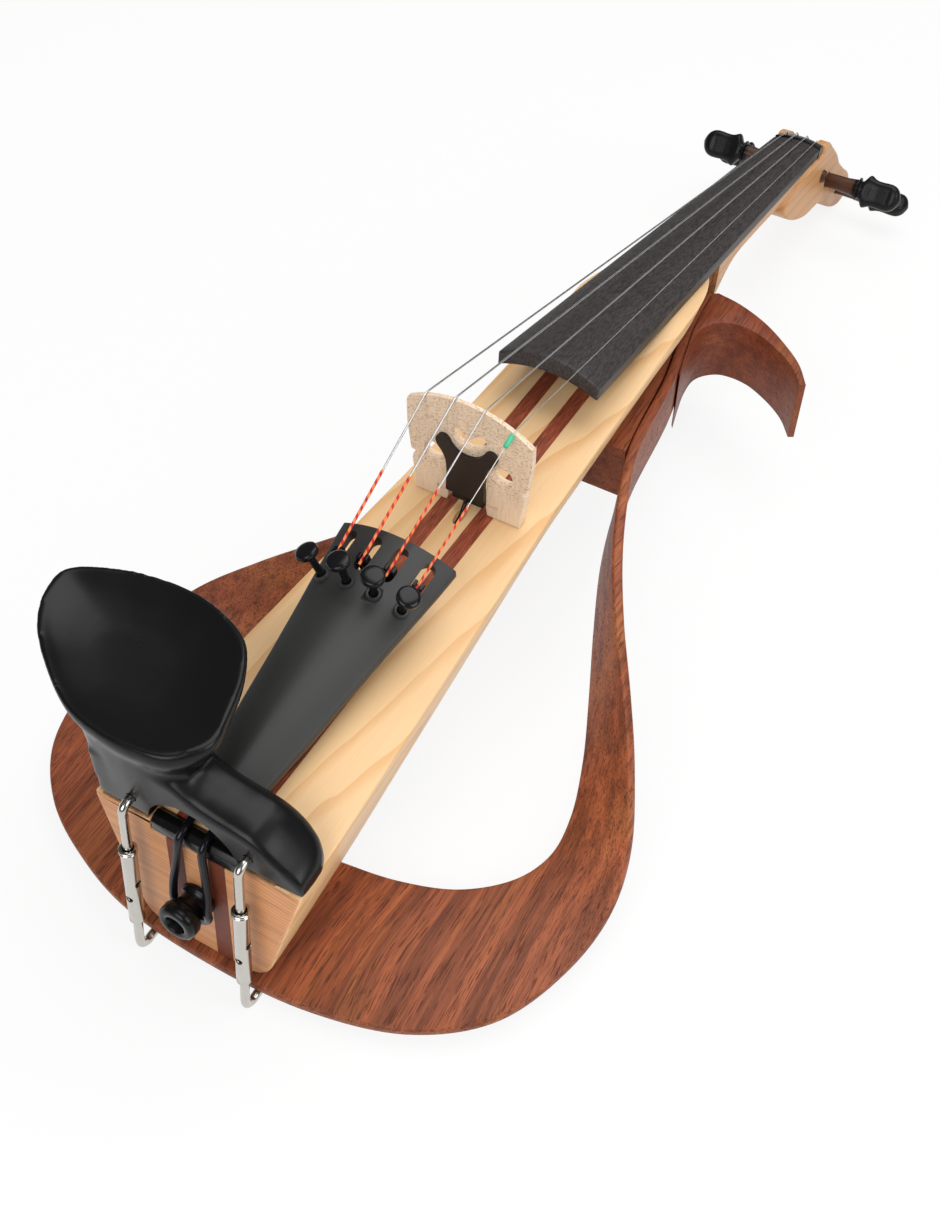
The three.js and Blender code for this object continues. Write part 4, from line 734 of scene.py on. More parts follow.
def board_finish(name, c):
    """The fingerboard: dark brown-grey with fine streaks along it."""
    paint = Paint(name, **{"Specular IOR Level": 0.34})
    line = paint.noise((1.5, 0.012, 1.5), detail=4, rough=0.62)
    pore = paint.noise((2.4, 0.06, 2.4), detail=2)
    base = paint.mix(paint.step(line, 0.36, 0.66), shade(c.board, 1.5), shade(c.board, 0.55))
    base = paint.mix(paint.step(pore, 0.58, 0.66) * 0.6, base, shade(c.board, 0.3))
    return paint.finished(base, 0.44 + line * 0.14, line - pore * 0.5, 0.04, 0.4)


def peg_finish(name, c):
    """Black heads on dark brown shafts."""
    paint = Paint(name, **{"Specular IOR Level": 0.22})
    x = paint.parts()[0]
    head = paint.step(abs(x), PEG_COLLAR - 0.8, PEG_COLLAR + 0.2)
    grain = paint.noise((0.09, 1.3, 1.3), detail=3)
    shaft = paint.mix(grain, (0.040, 0.016, 0.010), (0.11, 0.048, 0.028))
    black = paint.mix(grain, shade(c.black, 0.8), shade(c.black, 1.6))
    return paint.finished(paint.mix(head, shaft, black), 0.26 + grain * 0.14, grain, 0.02, 0.4)


def cork_finish(name):
    """Pressed cork: brown grains of several shades."""
    paint = Paint(name, **{"Specular IOR Level": 0.2})
    cell = paint.add("ShaderNodeTexVoronoi", {"feature": "F1"}, {
        "Vector": paint.place, "Scale": 1.6, "Randomness": 1.0}, output=1)
    grey = paint.add("ShaderNodeRGBToBW", sockets={0: cell})
    fine = paint.noise((2.5, 2.5, 2.5), detail=3)
    base = paint.mix(grey * 0.6 + fine * 0.5, (0.10, 0.045, 0.02), (0.48, 0.27, 0.13))
    return paint.finished(base, 0.8 + fine * 0.2, fine, 0.25, 0.8)


def string_finish(name, metal, c, turns_per_mm):
    """Flat-wound metal, with a spiral silk wrapping of two threads towards the tail."""
    paint = Paint(name)
    along, sine, cosine = paint.parts(
        paint.add("ShaderNodeAttribute", {"attribute_name": "wrap"}, output=1))
    angle = paint.add("ShaderNodeMath", {"operation": "ARCTAN2"}, {0: sine, 1: cosine}) / math.tau
    spiral = (angle + along * 0.30) % 1
    fine = (angle + along * turns_per_mm) % 1
    thread = paint.step(abs(spiral - 0.5), 0.18, 0.26)
    fuzz = paint.noise((0.6, 0.6, 0.6), detail=2)
    thread_shade = paint.mix(thread, c.silk, c.silk_light)
    thread_shade = paint.mix(paint.step(fuzz, 0.5, 0.7) * 0.35, thread_shade, shade(c.silk, 0.45))
    silk = paint.step(along, SILK_END + 0.3, SILK_END - 0.3)
    wound = paint.mix(abs(fine - 0.5) * 2, shade(metal, 0.82), metal)
    height = paint.add("ShaderNodeMath", {"operation": "PINGPONG"}, {0: fine, 1: 0.5})
    return paint.finished(paint.mix(silk, wound, thread_shade), 0.26 + silk * 0.5 + fuzz * 0.06,
                          height, 0.02, 0.3, Metallic=1 - silk)


def green_finish(name):
    """Clouded green plastic."""
    paint = Paint(name, **{"IOR": 1.45})
    cloud = paint.noise((0.8, 0.8, 0.8), detail=2)
    base = paint.mix(cloud, (0.035, 0.43, 0.22), (0.11, 0.62, 0.36))
    return paint.finished(base, 0.3 + cloud * 0.2, cloud, 0.03, 0.3)


FINISHES = {}


def make_finishes():
    c = SimpleNamespace(**{key: tuple(getattr(bpy.context.scene.violin_colours, key))
                           for key in Colours.__annotations__})
    FINISHES.update({
        "maple": maple_finish("lacquered_maple", c),
        "neck_maple": maple_finish("oiled_maple", c, tone=0.68, spacing=5.5, end_grain=False,
                                   warmth=0.78),
        "walnut": walnut_finish("stained_walnut", c),
        "mahogany": mahogany_finish("mahogany_strip", c),
        "ebony": board_finish("board_black", c),
        "peg": peg_finish("peg_black", c),
        "turned_black": black_finish("turned_black", c.black, 0.22, specular=0.25),
        "bridge_maple": bridge_finish("bridge_maple", c),
        "black_plastic": black_finish("satin_black", c.black, 0.27, specular=0.26),
        "tailpiece": black_finish("matt_grey_black", c.tailpiece, 0.42, spread=0.03, specular=0.4),
        "pickup": black_finish("pickup_brown_black", (0.022, 0.017, 0.015), 0.42),
        "black_steel": black_finish("black_steel", (0.006, 0.006, 0.007), 0.2, specular=0.3),
        "steel": metal_finish("drawn_steel", (0.60, 0.60, 0.61), 0.24),
        "nickel": metal_finish("polished_nickel", c.nickel, 0.14),
        "cork": cork_finish("pressed_cork"),
        "rubber_black": black_finish("glossy_black_cord", (0.006, 0.006, 0.010), 0.18,
                                     specular=0.3),
        "rubber_green": green_finish("green_sleeve"),
        "wound_string": string_finish("wound_string", (0.78, 0.78, 0.79), c, 2.4),
        "plain_string": string_finish("plain_string", (0.84, 0.83, 0.81), c, 0.2),
    })


def finish_for(node):
    special = {"tailpiece": "tailpiece", "pickup": "pickup", "end_button": "turned_black",
               "saddle": "turned_black", "nut": "turned_black"}
    if node.startswith("peg_"):
        return FINISHES["peg"]
    if SLOT_OF[node] == "string_metal":
        return FINISHES["plain_string" if node.endswith("_e") else "wound_string"]
    return FINISHES[special.get(node, SLOT_OF[node])]


# Body

def body_shell(p):
    stations = np.unique(np.concatenate([np.linspace(0, 1, 74), [0.03, 0.985, 0.993]]))
    floor_from = through(p.neck, [(0, -p.board_length, p.under(-p.board_length) - GAP),
                                  (0, 0, p.under(0) - GAP)])
    rings = []
    for share in stations:
        y = share * p.body_length - p.behind_bridge
        half, depth = p.half_width(y), p.depth(y)
        top = min(0.0, float(np.interp(y, floor_from[:, 1], floor_from[:, 2])))
        lean = TAIL_LEAN * max(0.0, 1 - share / 0.03) + FRONT_LEAN * max(
            0.0, (share - FRONT_LEAN_FROM) / (1 - FRONT_LEAN_FROM))
        rounding = min(p.bottom_round, depth * 0.35)
        foot = half - depth * SIDE_LEAN
        start, corner, end = ((foot + rounding * SIDE_LEAN, rounding - depth), (foot, -depth),
                              (foot - rounding, -depth))
        t = np.linspace(0, 1, 9)[:, None]
        turn = (1 - t) ** 2 * np.array(start) + 2 * t * (1 - t) * np.array(corner) \
            + t ** 2 * np.array(end)
        right = np.vstack([[(half + top * SIDE_LEAN, top)], turn])
        ring = np.vstack([right, right[::-1] * (-1, 1)])
        rings.append([(x, y + lean * z, z) for x, z in ring])
    return loft(rings)


def screw_cutter(radius, head, length):
    return [(0, -OVERRUN), (head, -OVERRUN), (head, 0), (radius, head - radius), (radius, length),
            (0, length)]


def body_openings(p):
    """What is cut out of the body: saddle seat, button bore, controls, lead and screw bores."""
    seat = box(-p.saddle_width / 2 - GAP, p.saddle_width / 2 + GAP, -p.behind_bridge - OVERRUN,
               p.saddle_front + GAP, -SADDLE_SINK - GAP, OVERRUN)
    button_depth = BUTTON_DEPTH + GAP
    bore = turned(rod(BUTTON_SHANK + GAP, button_depth + OVERRUN),
                  p.button_seat - p.button_out * button_depth, p.button_out)
    wide, long = COVER_HALF_WIDTH + GAP, COVER_HALF_LENGTH + GAP
    recess = moved(p.control, box(-wide, wide, -long, long, -OVERRUN, COVER_THICKNESS + GAP))
    half_width, half_length, depth = CAVITY
    cavity = moved(p.control, box(-half_width, half_width, -half_length, half_length,
                                  -OVERRUN, depth))
    way = p.lead_exit - p.lead_entry
    lead = turned(rod(LEAD_BORE, way.length + LEAD_SETBACK),
                  p.lead_entry - way.normalized() * LEAD_SETBACK, way.normalized(), 20)
    screws = [moved(p.control, turned(rod(1.45, 11.3), (0, y, 0), (0, 0, 1), 20))
              for y in (-COVER_SCREW_Y, COVER_SCREW_Y)]
    frame_screws = [turned(rod(2.15, 24.3), place, (0, 0, 1), 20) for place in p.frame_screws]
    return [seat, bore, recess, cavity, lead, *screws, *frame_screws]


def build_body(p):
    whole = worked(mesh_object("whole_body", body_shell(p)), edges_eased(p.arris, 3, 48))
    carved(whole, *body_openings(p))
    outer = p.stripe_inner + p.stripe_width
    glue = 0.05
    boards = {
        "body_bass_side": (-p.tail_width, -outer - glue), "body_bass_stripe": (-outer, -p.stripe_inner),
        "body_middle": (glue - p.stripe_inner, p.stripe_inner - glue),
        "body_treble_stripe": (p.stripe_inner, outer), "body_treble_side": (outer + glue, p.tail_width),
    }
    for node, (x0, x1) in boards.items():
        piece = linked(node + "_finished", whole.data.copy())
        carved(piece, box(x0, x1, -p.behind_bridge - OVERRUN, p.body_front + OVERRUN,
                          -p.tail_depth - OVERRUN, OVERRUN), operation="INTERSECT")
        placed(node, piece)
    removed(whole)


# Walnut frame

# Rows along the band: x, y, z at its upper edge, then at its lower edge. x is a share of the frame's
# half width, y of the length behind the bridge or of the way to the heel, z of the band's drop.
LOOP_SHARES = [
    (0.125, 0.985, 0.46, 0.125, 0.985, 0.885), (0.153, 0.848, 0.434, 0.153, 0.848, 0.867),
    (0.182, 0.775, 0.407, 0.184, 0.775, 0.85), (0.24, 0.635, 0.38, 0.24, 0.635, 0.823),
    (0.302, 0.39, 0.354, 0.29, 0.405, 0.814), (0.38, 0.26, 0.389, 0.32, 0.317, 0.84),
    (0.485, 0.13, 0.46, 0.385, 0.198, 0.885), (0.61, 0.01, 0.549, 0.5, 0.047, 0.92),
    (0.76, -0.138, 0.62, 0.62, -0.119, 0.938), (0.9, -0.287, 0.708, 0.72, -0.275, 0.956),
    (1.02, -0.444, 0.85, 0.78, -0.412, 0.973), (1.055, -0.575, 0.938, 0.785, -0.506, 0.991),
    (1.02, -0.719, 0.991, 0.73, -0.588, 1), (0.91, -0.875, 1, 0.59, -0.669, 1),
    (0.7, -0.981, 1, 0.4, -0.716, 1), (0.38, -1.041, 1, 0.2, -0.738, 1),
    (0, -1.056, 1, 0, -0.75, 1), (-0.33, -1.041, 1, -0.2, -0.744, 1),
    (-0.55, -1, 1, -0.38, -0.712, 1), (-0.78, -0.925, 1, -0.52, -0.65, 1),
    (-0.94, -0.812, 0.991, -0.61, -0.569, 1), (-1, -0.656, 0.956, -0.64, -0.481, 0.991),
    (-0.98, -0.487, 0.885, -0.63, -0.394, 0.973), (-0.87, -0.325, 0.779, -0.57, -0.306, 0.956),
    (-0.72, -0.219, 0.673, -0.49, -0.219, 0.938), (-0.56, -0.125, 0.584, -0.4, -0.137, 0.912),
    (-0.4, -0.031, 0.513, -0.29, -0.05, 0.885), (-0.24, 0.057, 0.478, -0.17, 0.042, 0.867),
    (-0.1, 0.151, 0.46, -0.07, 0.135, 0.85), (0.01, 0.26, 0.451, 0.01, 0.26, 0.841),
    (0.055, 0.375, 0.451, 0.055, 0.375, 0.841),
]
# The horn seen from above: x as a share of the half width, y of the way to the heel
HORN_OUTER_SHARES = [(0.17, 0.993), (0.282, 0.98), (0.426, 0.946), (0.568, 0.892), (0.656, 0.848),
                     (0.726, 0.793)]
HORN_INNER_SHARES = [(0.703, 0.786), (0.627, 0.836), (0.515, 0.879), (0.403, 0.905),
                     (0.296, 0.905), (0.24, 0.886), (0.205, 0.855), (0.205, 0.8), (0.225, 0.745),
                     (0.255, 0.68)]


def band_lines(p, places):
    """The band's middle at its upper and lower edge, and half its thickness outwards."""
    def edge(start):
        return [(row[start] * p.frame_half,
                 row[start + 1] * (p.behind_bridge if row[start + 1] < 0 else p.heel_y),
                 -row[start + 2] * p.band_drop) for row in LOOP_SHARES]
    near = np.clip([places - 1e-4, places + 1e-4], 0, 1)
    lines, along = [], 0
    for start in (0, 3):
        points = edge(start)
        lines.append(curve_through(points, places))
        ahead = curve_through(points, near[1]) - curve_through(points, near[0])
        along = along + ahead / np.linalg.norm(ahead, axis=1)[:, None]
    out = np.cross(along, lines[0] - lines[1])
    out *= (p.band / 2 / np.linalg.norm(out, axis=1))[:, None]
    return lines[0], lines[1], out


def band_shell(p):
    places = np.linspace(0, 1, 300)
    upper, lower, out = band_lines(p, places)
    turn = np.linspace(0, math.pi / 2, 5)
    rings = []
    for up, low, off in zip(upper, lower, out):
        width = np.linalg.norm(up - low)
        high, wide = (up - low) / width, off / (p.band / 2)
        reach, thick = width / 2 - p.band_round, p.band / 2 - p.band_round
        ring = []
        for corner, (a, b) in enumerate([(1, 1), (-1, 1), (-1, -1), (1, -1)]):
            angles = turn if corner % 2 else turn[::-1]
            for angle in angles:
                ring.append((up + low) / 2
                            + high * a * (reach + p.band_round * math.sin(angle))
                            + wide * b * (thick + p.band_round * math.cos(angle)))
        rings.append(ring)
    return loft(rings)


def build_horn(p, band_face):
    """The horn leaves the band's outer face under the neck and sweeps out to the treble side."""
    horn_from = HORN_INNER_SHARES[-1][1] * p.heel_y
    strip = band_face[:, :2] + (GAP, 0)
    outer, inner = (np.array(rows) * (p.frame_half, p.heel_y) for rows in
                    (HORN_OUTER_SHARES, HORN_INNER_SHARES))
    outer = curve_through(outer, np.linspace(0, 1, 60))
    inner = curve_through(inner, np.linspace(0, 1, 90))
    start = np.array([(0.152 * p.frame_half, 0.986 * p.heel_y)])
    plan = np.vstack([start, outer, inner, strip[strip[:, 1] > horn_from][::-1]])
    horn = upright(plan, -0.98 * p.band_drop, -0.46 * p.band_drop)
    made("frame_horn", horn, ease=0.9, sharp=38)


def build_neck_block(p, band_middle):
    """The block fills the corner behind the band, and its upstand closes the body's front."""
    block_from, bottom = 0.385 * p.heel_y, -0.823 * p.band_drop
    top = -p.tail_depth * DEPTH_SHARES[-1][1] - GAP
    side = band_middle[band_middle[:, 1] > block_from][:, :2] - (p.band / 2 + GAP * 2, 0)
    side[:, 1] = np.minimum(side[:, 1], p.heel_y - GAP)
    plan = np.vstack([side, [(side[-1][0], block_from), (-BLOCK_HALF, block_from),
                             (-BLOCK_HALF, p.heel_y - GAP), (side[0][0], p.heel_y - GAP)]])
    profile = [(p.heel_y - GAP, top - GAP), (p.heel_y - GAP, 0), (p.body_front + GAP, 0),
               (p.body_front + FRONT_LEAN * top + GAP * 2, top - GAP)]
    block = mesh_object("neck_block_finished", upright(plan, bottom, top))
    carved(block, across(profile, -BLOCK_HALF, BLOCK_HALF), operation="UNION")
    carved(block, board_room(p), matrix=p.neck)
    placed("neck_block", worked(block, edges_eased(0.6, 2, 50)))


def build_frame(p):
    loop = mesh_object("frame_loop_finished", band_shell(p))
    cutters = [turned(screw_cutter(2.3, 4.1, OVERRUN), place) for place in p.frame_screws]
    placed("frame_loop", carved(loop, *cutters), sharp=50)
    strip_rows = [row for row in LOOP_SHARES if row[0] > LOOP_SHARES[0][0] / 2 and row[1] > 0]
    strip_end = (len(strip_rows) - 1) / (len(LOOP_SHARES) - 1)
    upper, _, out = band_lines(p, np.linspace(0, strip_end, 80))
    build_horn(p, upper + np.where((out[:, 0] > 0)[:, None], out, -out))
    build_neck_block(p, upper)
    for i, place in enumerate(p.frame_screws):
        made_screw(f"frame_screw_{i + 1}", [(0, 0), (3.8, 0), (2, 1.8), (2, 22), (0, 24)], place,
                   (2.4, 0.45, 1.1))


# Neck, fingerboard, nut and pegs

# The neck from the heel to the nut: share of its length, its half width at the nut, its depth
NECK_SHARES = [(-1.16, 1.27, 2.2), (-0.97, 1.25, 2.2), (-0.915, 1.2, 2), (-0.86, 1.17, 1.55),
               (-0.81, 1.15, 1.25), (-0.73, 1.13, 1.09), (-0.57, 1.08, 1.04), (-0.35, 1.02, 1),
               (-0.15, 0.98, 0.975), (0, 0.97, 0.975)]
# The pegbox from the side: shares of its length from the nut and of its drop; then its trough
HEAD_SHARES = [
    (-0.02, 0.14), (0.08, 0.13), (0.1, 0.03), (0.18, 0.04), (0.29, 0.13), (0.48, 0.3), (0.58, 0.42),
    (0.66, 0.49), (0.78, 0.585), (0.93, 0.7), (1, 0.82), (0.985, 0.94), (0.9, 1), (0.75, 0.975),
    (0.55, 0.87), (0.4, 0.75), (0.31, 0.705), (0.19, 0.7), (0.03, 0.7), (-0.2, 0.62), (-0.4, 0.5),
    (-0.52, 0.37), (-0.5, 0.3)]
TROUGH_SHARES = [(0.08, -0.3), (0.08, 0.42), (0.3, 0.58), (0.74, 0.865), (0.83, 0.8), (0.86, -0.3)]
# Each peg: the side of its head, its place along and below the board's plane, its turn in half turns
PEG_SHARES = {"g": (-1, 0.19, 0.375), "d": (-1, 0.515, 0.6), "a": (1, 0.7, 0.735),
              "e": (1, 0.345, 0.485)}
PEG_TURN_SHARES = {"g": 0.38, "d": 0.55, "a": 0.12, "e": 0.38}
# Thickness of the pegbox's cheeks, and the place of the pegs' collars from the middle
CHEEK = 5.2
PEG_COLLAR = 28.0


def peg_place(p, string):
    _, s, d = PEG_SHARES[string]
    return Vector((0, s * p.head_length, -d * p.head_drop))


def peg_radius(p, x):
    return 3.1 + (x + p.peg_tail) * 0.9 / (PEG_COLLAR + p.peg_tail)


# Depth of the neck, and the hollow under the board: share of its length, share of its full depth
NECK_DEPTH = 20
BOARD_HOLLOW = [(0.27, 0), (0.54, 0), (0.62, 1), (1, 1)]


def squared(value, power):
    """A cosine or sine pushed outwards, so that a ring drawn with it is squarer than a circle."""
    return math.copysign(abs(value) ** power, value)


def neck_shell(p):
    width = [(length, w) for length, w, _ in NECK_SHARES]
    depth = [(length, d) for length, _, d in NECK_SHARES]
    rings = []
    for share in np.linspace(NECK_SHARES[0][0], 0, 90):
        s = share * p.neck_length
        half = min(read(width, share, 0.03) * p.nut_half, p.board_half(s))
        top = p.under(s) - GAP
        deep = -read(depth, share, 0.03) * NECK_DEPTH - top
        rings.append([(half * squared(math.cos(a), 0.64), s, top + deep * math.sin(a) ** 0.64)
                      for a in np.linspace(0, math.pi, 29)])
    return loft(rings)


def board_shell(p):
    """The fingerboard: crowned, hollowed under its free end and rounded at both ends."""
    rings = []
    ends = [0, 0.0012, 0.004]
    for share in sorted(ends + [1 - e for e in ends] + list(np.linspace(0.02, 0.98, 48))):
        s = -share * p.board_length
        inset = 0.7 * (1 - math.sqrt(1 - (1 - min(min(share, 1 - share) / 0.004, 1)) ** 2))
        half, under = p.board_half(s) - inset, p.under(s)
        hollow = 4 * read(BOARD_HOLLOW, share, 0.03)
        top = [(u * half, s, -p.drop(u * half) - inset * 0.8) for u in np.linspace(1, -1, 33)]
        edges = [(side * half, s, -p.drop(half) - 0.9) for side in (-1, 1)]
        base = [(u * (half - 0.3), s, under + hollow * (1 - u ** 2) + inset * 0.5)
                for u in np.linspace(-1, 1, 17)]
        rings.append(top + edges[:1] + base + edges[1:])
    return loft(rings)


def nut_ring(p, y):
    """The nut's section at a place along the neck; the half by the board stands higher."""
    lift = NUT_LIFT * (1 if y < p.nut_length / 2 else 0.3)
    return [(-p.nut_half, y, p.under(0))] + [
        (p.nut_half * u, y, lift - p.drop(p.nut_half * u)) for u in np.linspace(-1, 1, 21)
    ] + [(p.nut_half, y, p.under(0))]


def build_neck(p):
    outline = curve_through(HEAD_SHARES, np.linspace(0, 1, 161)[:-1], closed=True)
    head = across([(s * p.head_length, -d * p.head_drop) for s, d in outline],
                  -p.head_half, p.head_half)
    neck = mesh_object("neck_finished", neck_shell(p), p.neck)
    carved(neck, head, matrix=p.neck, operation="UNION")
    worked(neck, *fused(0.75, 5))
    reach = p.head_half + GAP
    bores = [turned([(0, -reach), (peg_radius(p, -reach) + RUNNING_GAP, -reach),
                     (peg_radius(p, reach) + RUNNING_GAP, reach), (0, reach)],
                    peg_place(p, s), (PEG_SHARES[s][0], 0, 0)) for s in STRINGS]
    trough = across([(s * p.head_length, -d * p.head_drop) for s, d in TROUGH_SHARES],
                    CHEEK - p.head_half, p.head_half - CHEEK)
    carved(neck, board_room(p), trough, merged(*bores), matrix=p.neck)
    carved(neck, box(-REACH, REACH, 0, p.heel_y, -120, 120))
    placed("neck", neck, sharp=40)
    made("fingerboard", board_shell(p), p.neck, ease=0.45, sharp=42)
    made("nut", loft([nut_ring(p, y) for y in (GAP, 1.4, 3.4, p.nut_length)]), p.neck, ease=0.3)


# A peg's head: millimetres from its foot, then half its width and half its thickness there
HEAD_OUTLINE = [(0, 4.2), (0.8, 4.6), (1.8, 6.2), (2.8, 7.9), (3.6, 8.4), (4.6, 8.0), (6.2, 7.1),
                (8, 6.7), (10.5, 6.7), (13, 6.9), (15.5, 6.9), (17.4, 6.4), (18.9, 5.4), (20.1, 3.9),
                (21.0, 2.0), (21.4, 0.3)]
HEAD_THICKNESS = [(0, 4.0), (2.5, 4.3), (5, 4.3), (9, 4.1), (14, 4.4), (17, 4.4), (19, 3.7),
                  (20.6, 2.3), (21.4, 0.3)]
HEAD_TOP = HEAD_OUTLINE[-1][0]


def peg_head(start):
    """The flat head of a peg, dished on both faces, from a height along the peg."""
    rings = []
    for at in np.unique(np.concatenate([np.linspace(0, 6, 22), np.linspace(6, HEAD_TOP, 30)])):
        wide, thick = read(HEAD_OUTLINE, at, 0.35), read(HEAD_THICKNESS, at, 0.5)
        dish = 0.22 * min(1, max(0, (at - 2.0) / 4)) * min(1, max(0, (20 - at) / 5))
        ring = []
        for a in np.arange(48) / 48 * math.tau:
            u, v = squared(math.cos(a), 0.75), squared(math.sin(a), 0.75)
            ring.append((u * wide, v * thick * (1 - dish * (1 - abs(u) ** 1.5)), start + at))
        rings.append(ring)
    return loft(rings)


def build_pegs(p):
    collar = PEG_COLLAR + 1.6
    tail, top = p.peg_tail, collar + 2.2
    shaft = [(0, -tail), (2.5, -tail), (3.1, -tail + 0.6), (3.95, PEG_COLLAR - 4),
             (4.5, PEG_COLLAR + 0.4), (4.6, collar - 0.7), (4.2, collar - 0.55), (4.2, collar - 0.2),
             (5.3, collar), (5.9, collar + 0.35), (5.9, collar + 0.75), (5.2, collar + 1.2),
             (4.3, collar + 1.6), (4.2, top), (4.0, top + 1), (0, top + 1)]
    shell = merged(turned(shaft, sides=48), peg_head(top - 0.5))
    for string in STRINGS:
        side = PEG_SHARES[string][0]
        turn = Matrix.Rotation(math.pi * PEG_TURN_SHARES[string], 4, "X") \
            @ Matrix.Rotation(-side * math.pi / 2, 4, "Z") @ Matrix.Rotation(-math.pi / 2, 4, "X")
        made("peg_" + string, shell, p.neck @ Matrix.Translation(peg_place(p, string)) @ turn, sharp=50)


# Bridge and pickup

# In x and z: right halves of the bridge below its crown, the heart and the pickup plate, and the
# right kidney whole
BRIDGE_HALF = [(24.4, 38.6), (24.3, 30), (23.6, 24), (22.8, 17.7), (20.3, 17.2), (21.9, 15.6),
               (22.3, 13.6), (21.8, 10), (20.9, 4), (21.0, 0.3), (8.2, 0.3), (7.7, 3), (7.4, 10),
               (7.6, 15), (5.4, 19.2), (0, 20.6)]
KIDNEY = [(16.9, 17.8), (17.6, 20.6), (16.4, 23.6), (13.6, 24.4), (10.9, 23.3), (9.2, 20.6),
          (10.4, 18.2), (13.4, 17.0)]
HEART_HALF = [(0, 27.4), (3.4, 28.4), (6.2, 30.8), (6.9, 33.4), (5.4, 34.8), (3.2, 34.4),
              (1.4, 32.6), (0, 31.4)]
PLATE_HALF = [(0, 25.0), (3.4, 25.7), (5.9, 27.8), (7.5, 30.2), (9.2, 31.0), (11.0, 30.4),
              (11.9, 28.6), (11.4, 26.4), (9.4, 23.8), (8.0, 20.8), (7.5, 17.0), (7.5, 12.0),
              (7.7, 7.3), (7.3, 6.7), (0, 6.5)]


def mirrored(half):
    """A closed outline from its right half, which starts and ends in the middle."""
    return half + [(-x, z) for x, z in half[::-1] if x > 0]


def along_y(outline, y0, y1):
    return loft([[(x, y, z) for x, z in outline] for y in (y0, y1)])


# The bridge's crown, which falls towards the treble side, and the pickup's plate and block
CROWN_RADIUS, CROWN_FALL, CROWN_HALF = 42, 1.2, 23.6
PICKUP_PLATE = 1.6
PICKUP_BLOCK_HALF = 6.2
PICKUP_BLOCK_FACE = 1.4
PICKUP_BLOCK_FOOT, PICKUP_BLOCK_NECK, PICKUP_BLOCK_TOP = 2.2, 6.7, 8.6


def crown(p, x):
    """The bridge's top edge, which falls a little to the treble side."""
    round_off = CROWN_RADIUS - math.sqrt(CROWN_RADIUS ** 2 - x ** 2)
    return p.bridge_height - round_off - CROWN_FALL * x / CROWN_HALF


def bridge_holes(back):
    """The kidneys, the shallow notches in the legs, and the heart."""
    kidney = curve_through(KIDNEY, np.linspace(0, 1, 33)[:-1], closed=True)
    heart = curve_through(HEART_HALF, np.linspace(0, 1, 22))
    holes = [along_y(kidney * (side, 1), -OVERRUN, OVERRUN) for side in (-1, 1)]
    holes += [along_y([(side * 8, 4.4), (side * 12.4, 4.4), (side * 12.4, 6.1), (side * 8, 6.1)],
                      back - 1, back + 1.2) for side in (-1, 1)]
    holes.append(along_y(mirrored([tuple(row) for row in heart]), -OVERRUN, OVERRUN))
    return holes


def build_pickup(p, back):
    """The plate behind the bridge, and the block that reaches between the bridge's legs."""
    plate_back = back - GAP - PICKUP_PLATE
    plate = curve_through(PLATE_HALF[:12], np.linspace(0, 1, 60))
    outline = mirrored([tuple(row) for row in plate] + PLATE_HALF[12:])
    pickup = mesh_object("pickup_finished", along_y(outline, back - GAP, plate_back), p.bridge)
    block = [box(-PICKUP_BLOCK_HALF, PICKUP_BLOCK_HALF, y, PICKUP_BLOCK_FACE, foot, PICKUP_BLOCK_TOP)
             for y, foot in ((back + GAP, PICKUP_BLOCK_FOOT),
                             (plate_back + PICKUP_PLATE / 2, PICKUP_BLOCK_NECK))]
    carved(pickup, *block, matrix=p.bridge, operation="UNION")
    placed("pickup", worked(pickup, edges_eased(0.35, 2, 40)), sharp=40)
    start = p.bridge @ Vector((0, plate_back + PICKUP_PLATE / 2, 6.2))
    points = [start, (0, start.y, 3.8), (0, (p.lead_entry.y + start.y) / 2, LEAD_BORE), p.lead_entry,
              *[p.lead_entry.lerp(p.lead_exit, share) for share in (0.2, 0.5, 0.8, 0.96)]]
    made("pickup_lead", bent(points, 0.8, 90, 12))


def build_bridge(p):
    back, face = -p.bridge_thickness / 2, p.bridge_thickness / 2
    corner = BRIDGE_HALF[0][0] - 0.4
    arc = [(x, crown(p, x)) for x in np.linspace(-corner, corner, 41)]
    outline = arc + BRIDGE_HALF + [(-x, z) for x, z in BRIDGE_HALF[::-1][1:]]
    bridge = mesh_object("bridge_finished", along_y(outline, back, face), p.bridge)
    taper_from, thin, above = p.bridge_height * 0.15, back + p.bridge_top, p.bridge_height + OVERRUN
    taper = across([(face, taper_from), (thin, p.bridge_height + GAP), (thin, above),
                    (face + OVERRUN, above), (face + OVERRUN, taper_from)], -REACH, REACH)
    notches = [along_y([(ORDER[s] * p.bridge_spacing + 0.5 * math.cos(a),
                         crown(p, ORDER[s] * p.bridge_spacing) + 0.45 + 0.5 * math.sin(a))
                        for a in np.arange(12) / 12 * math.tau], -OVERRUN, OVERRUN) for s in STRINGS]
    carved(bridge, *bridge_holes(back), taper, *notches, matrix=p.bridge)
    placed("bridge", worked(bridge, edges_eased(0.3, 2, 50)), sharp=40)
    build_pickup(p, back)


# Tailpiece, fine tuners, strings

# Tailpiece from its wide end: share of its length, of its half width, of its crown
TAILPIECE_SHARES = [(0, 1, 1), (0.1, 0.95, 1), (0.32, 0.81, 0.95), (0.51, 0.7, 0.9),
                    (0.67, 0.62, 0.85), (0.88, 0.48, 0.75), (1, 0.38, 0.6)]
# In a tuner's frame: the lever's pivot, the top of its fork over that, and the screw
LEVER_Y, LEVER_Z = 12.5, -8.6
FORK_TOP = 10.2
SCREW_AT = 22.5


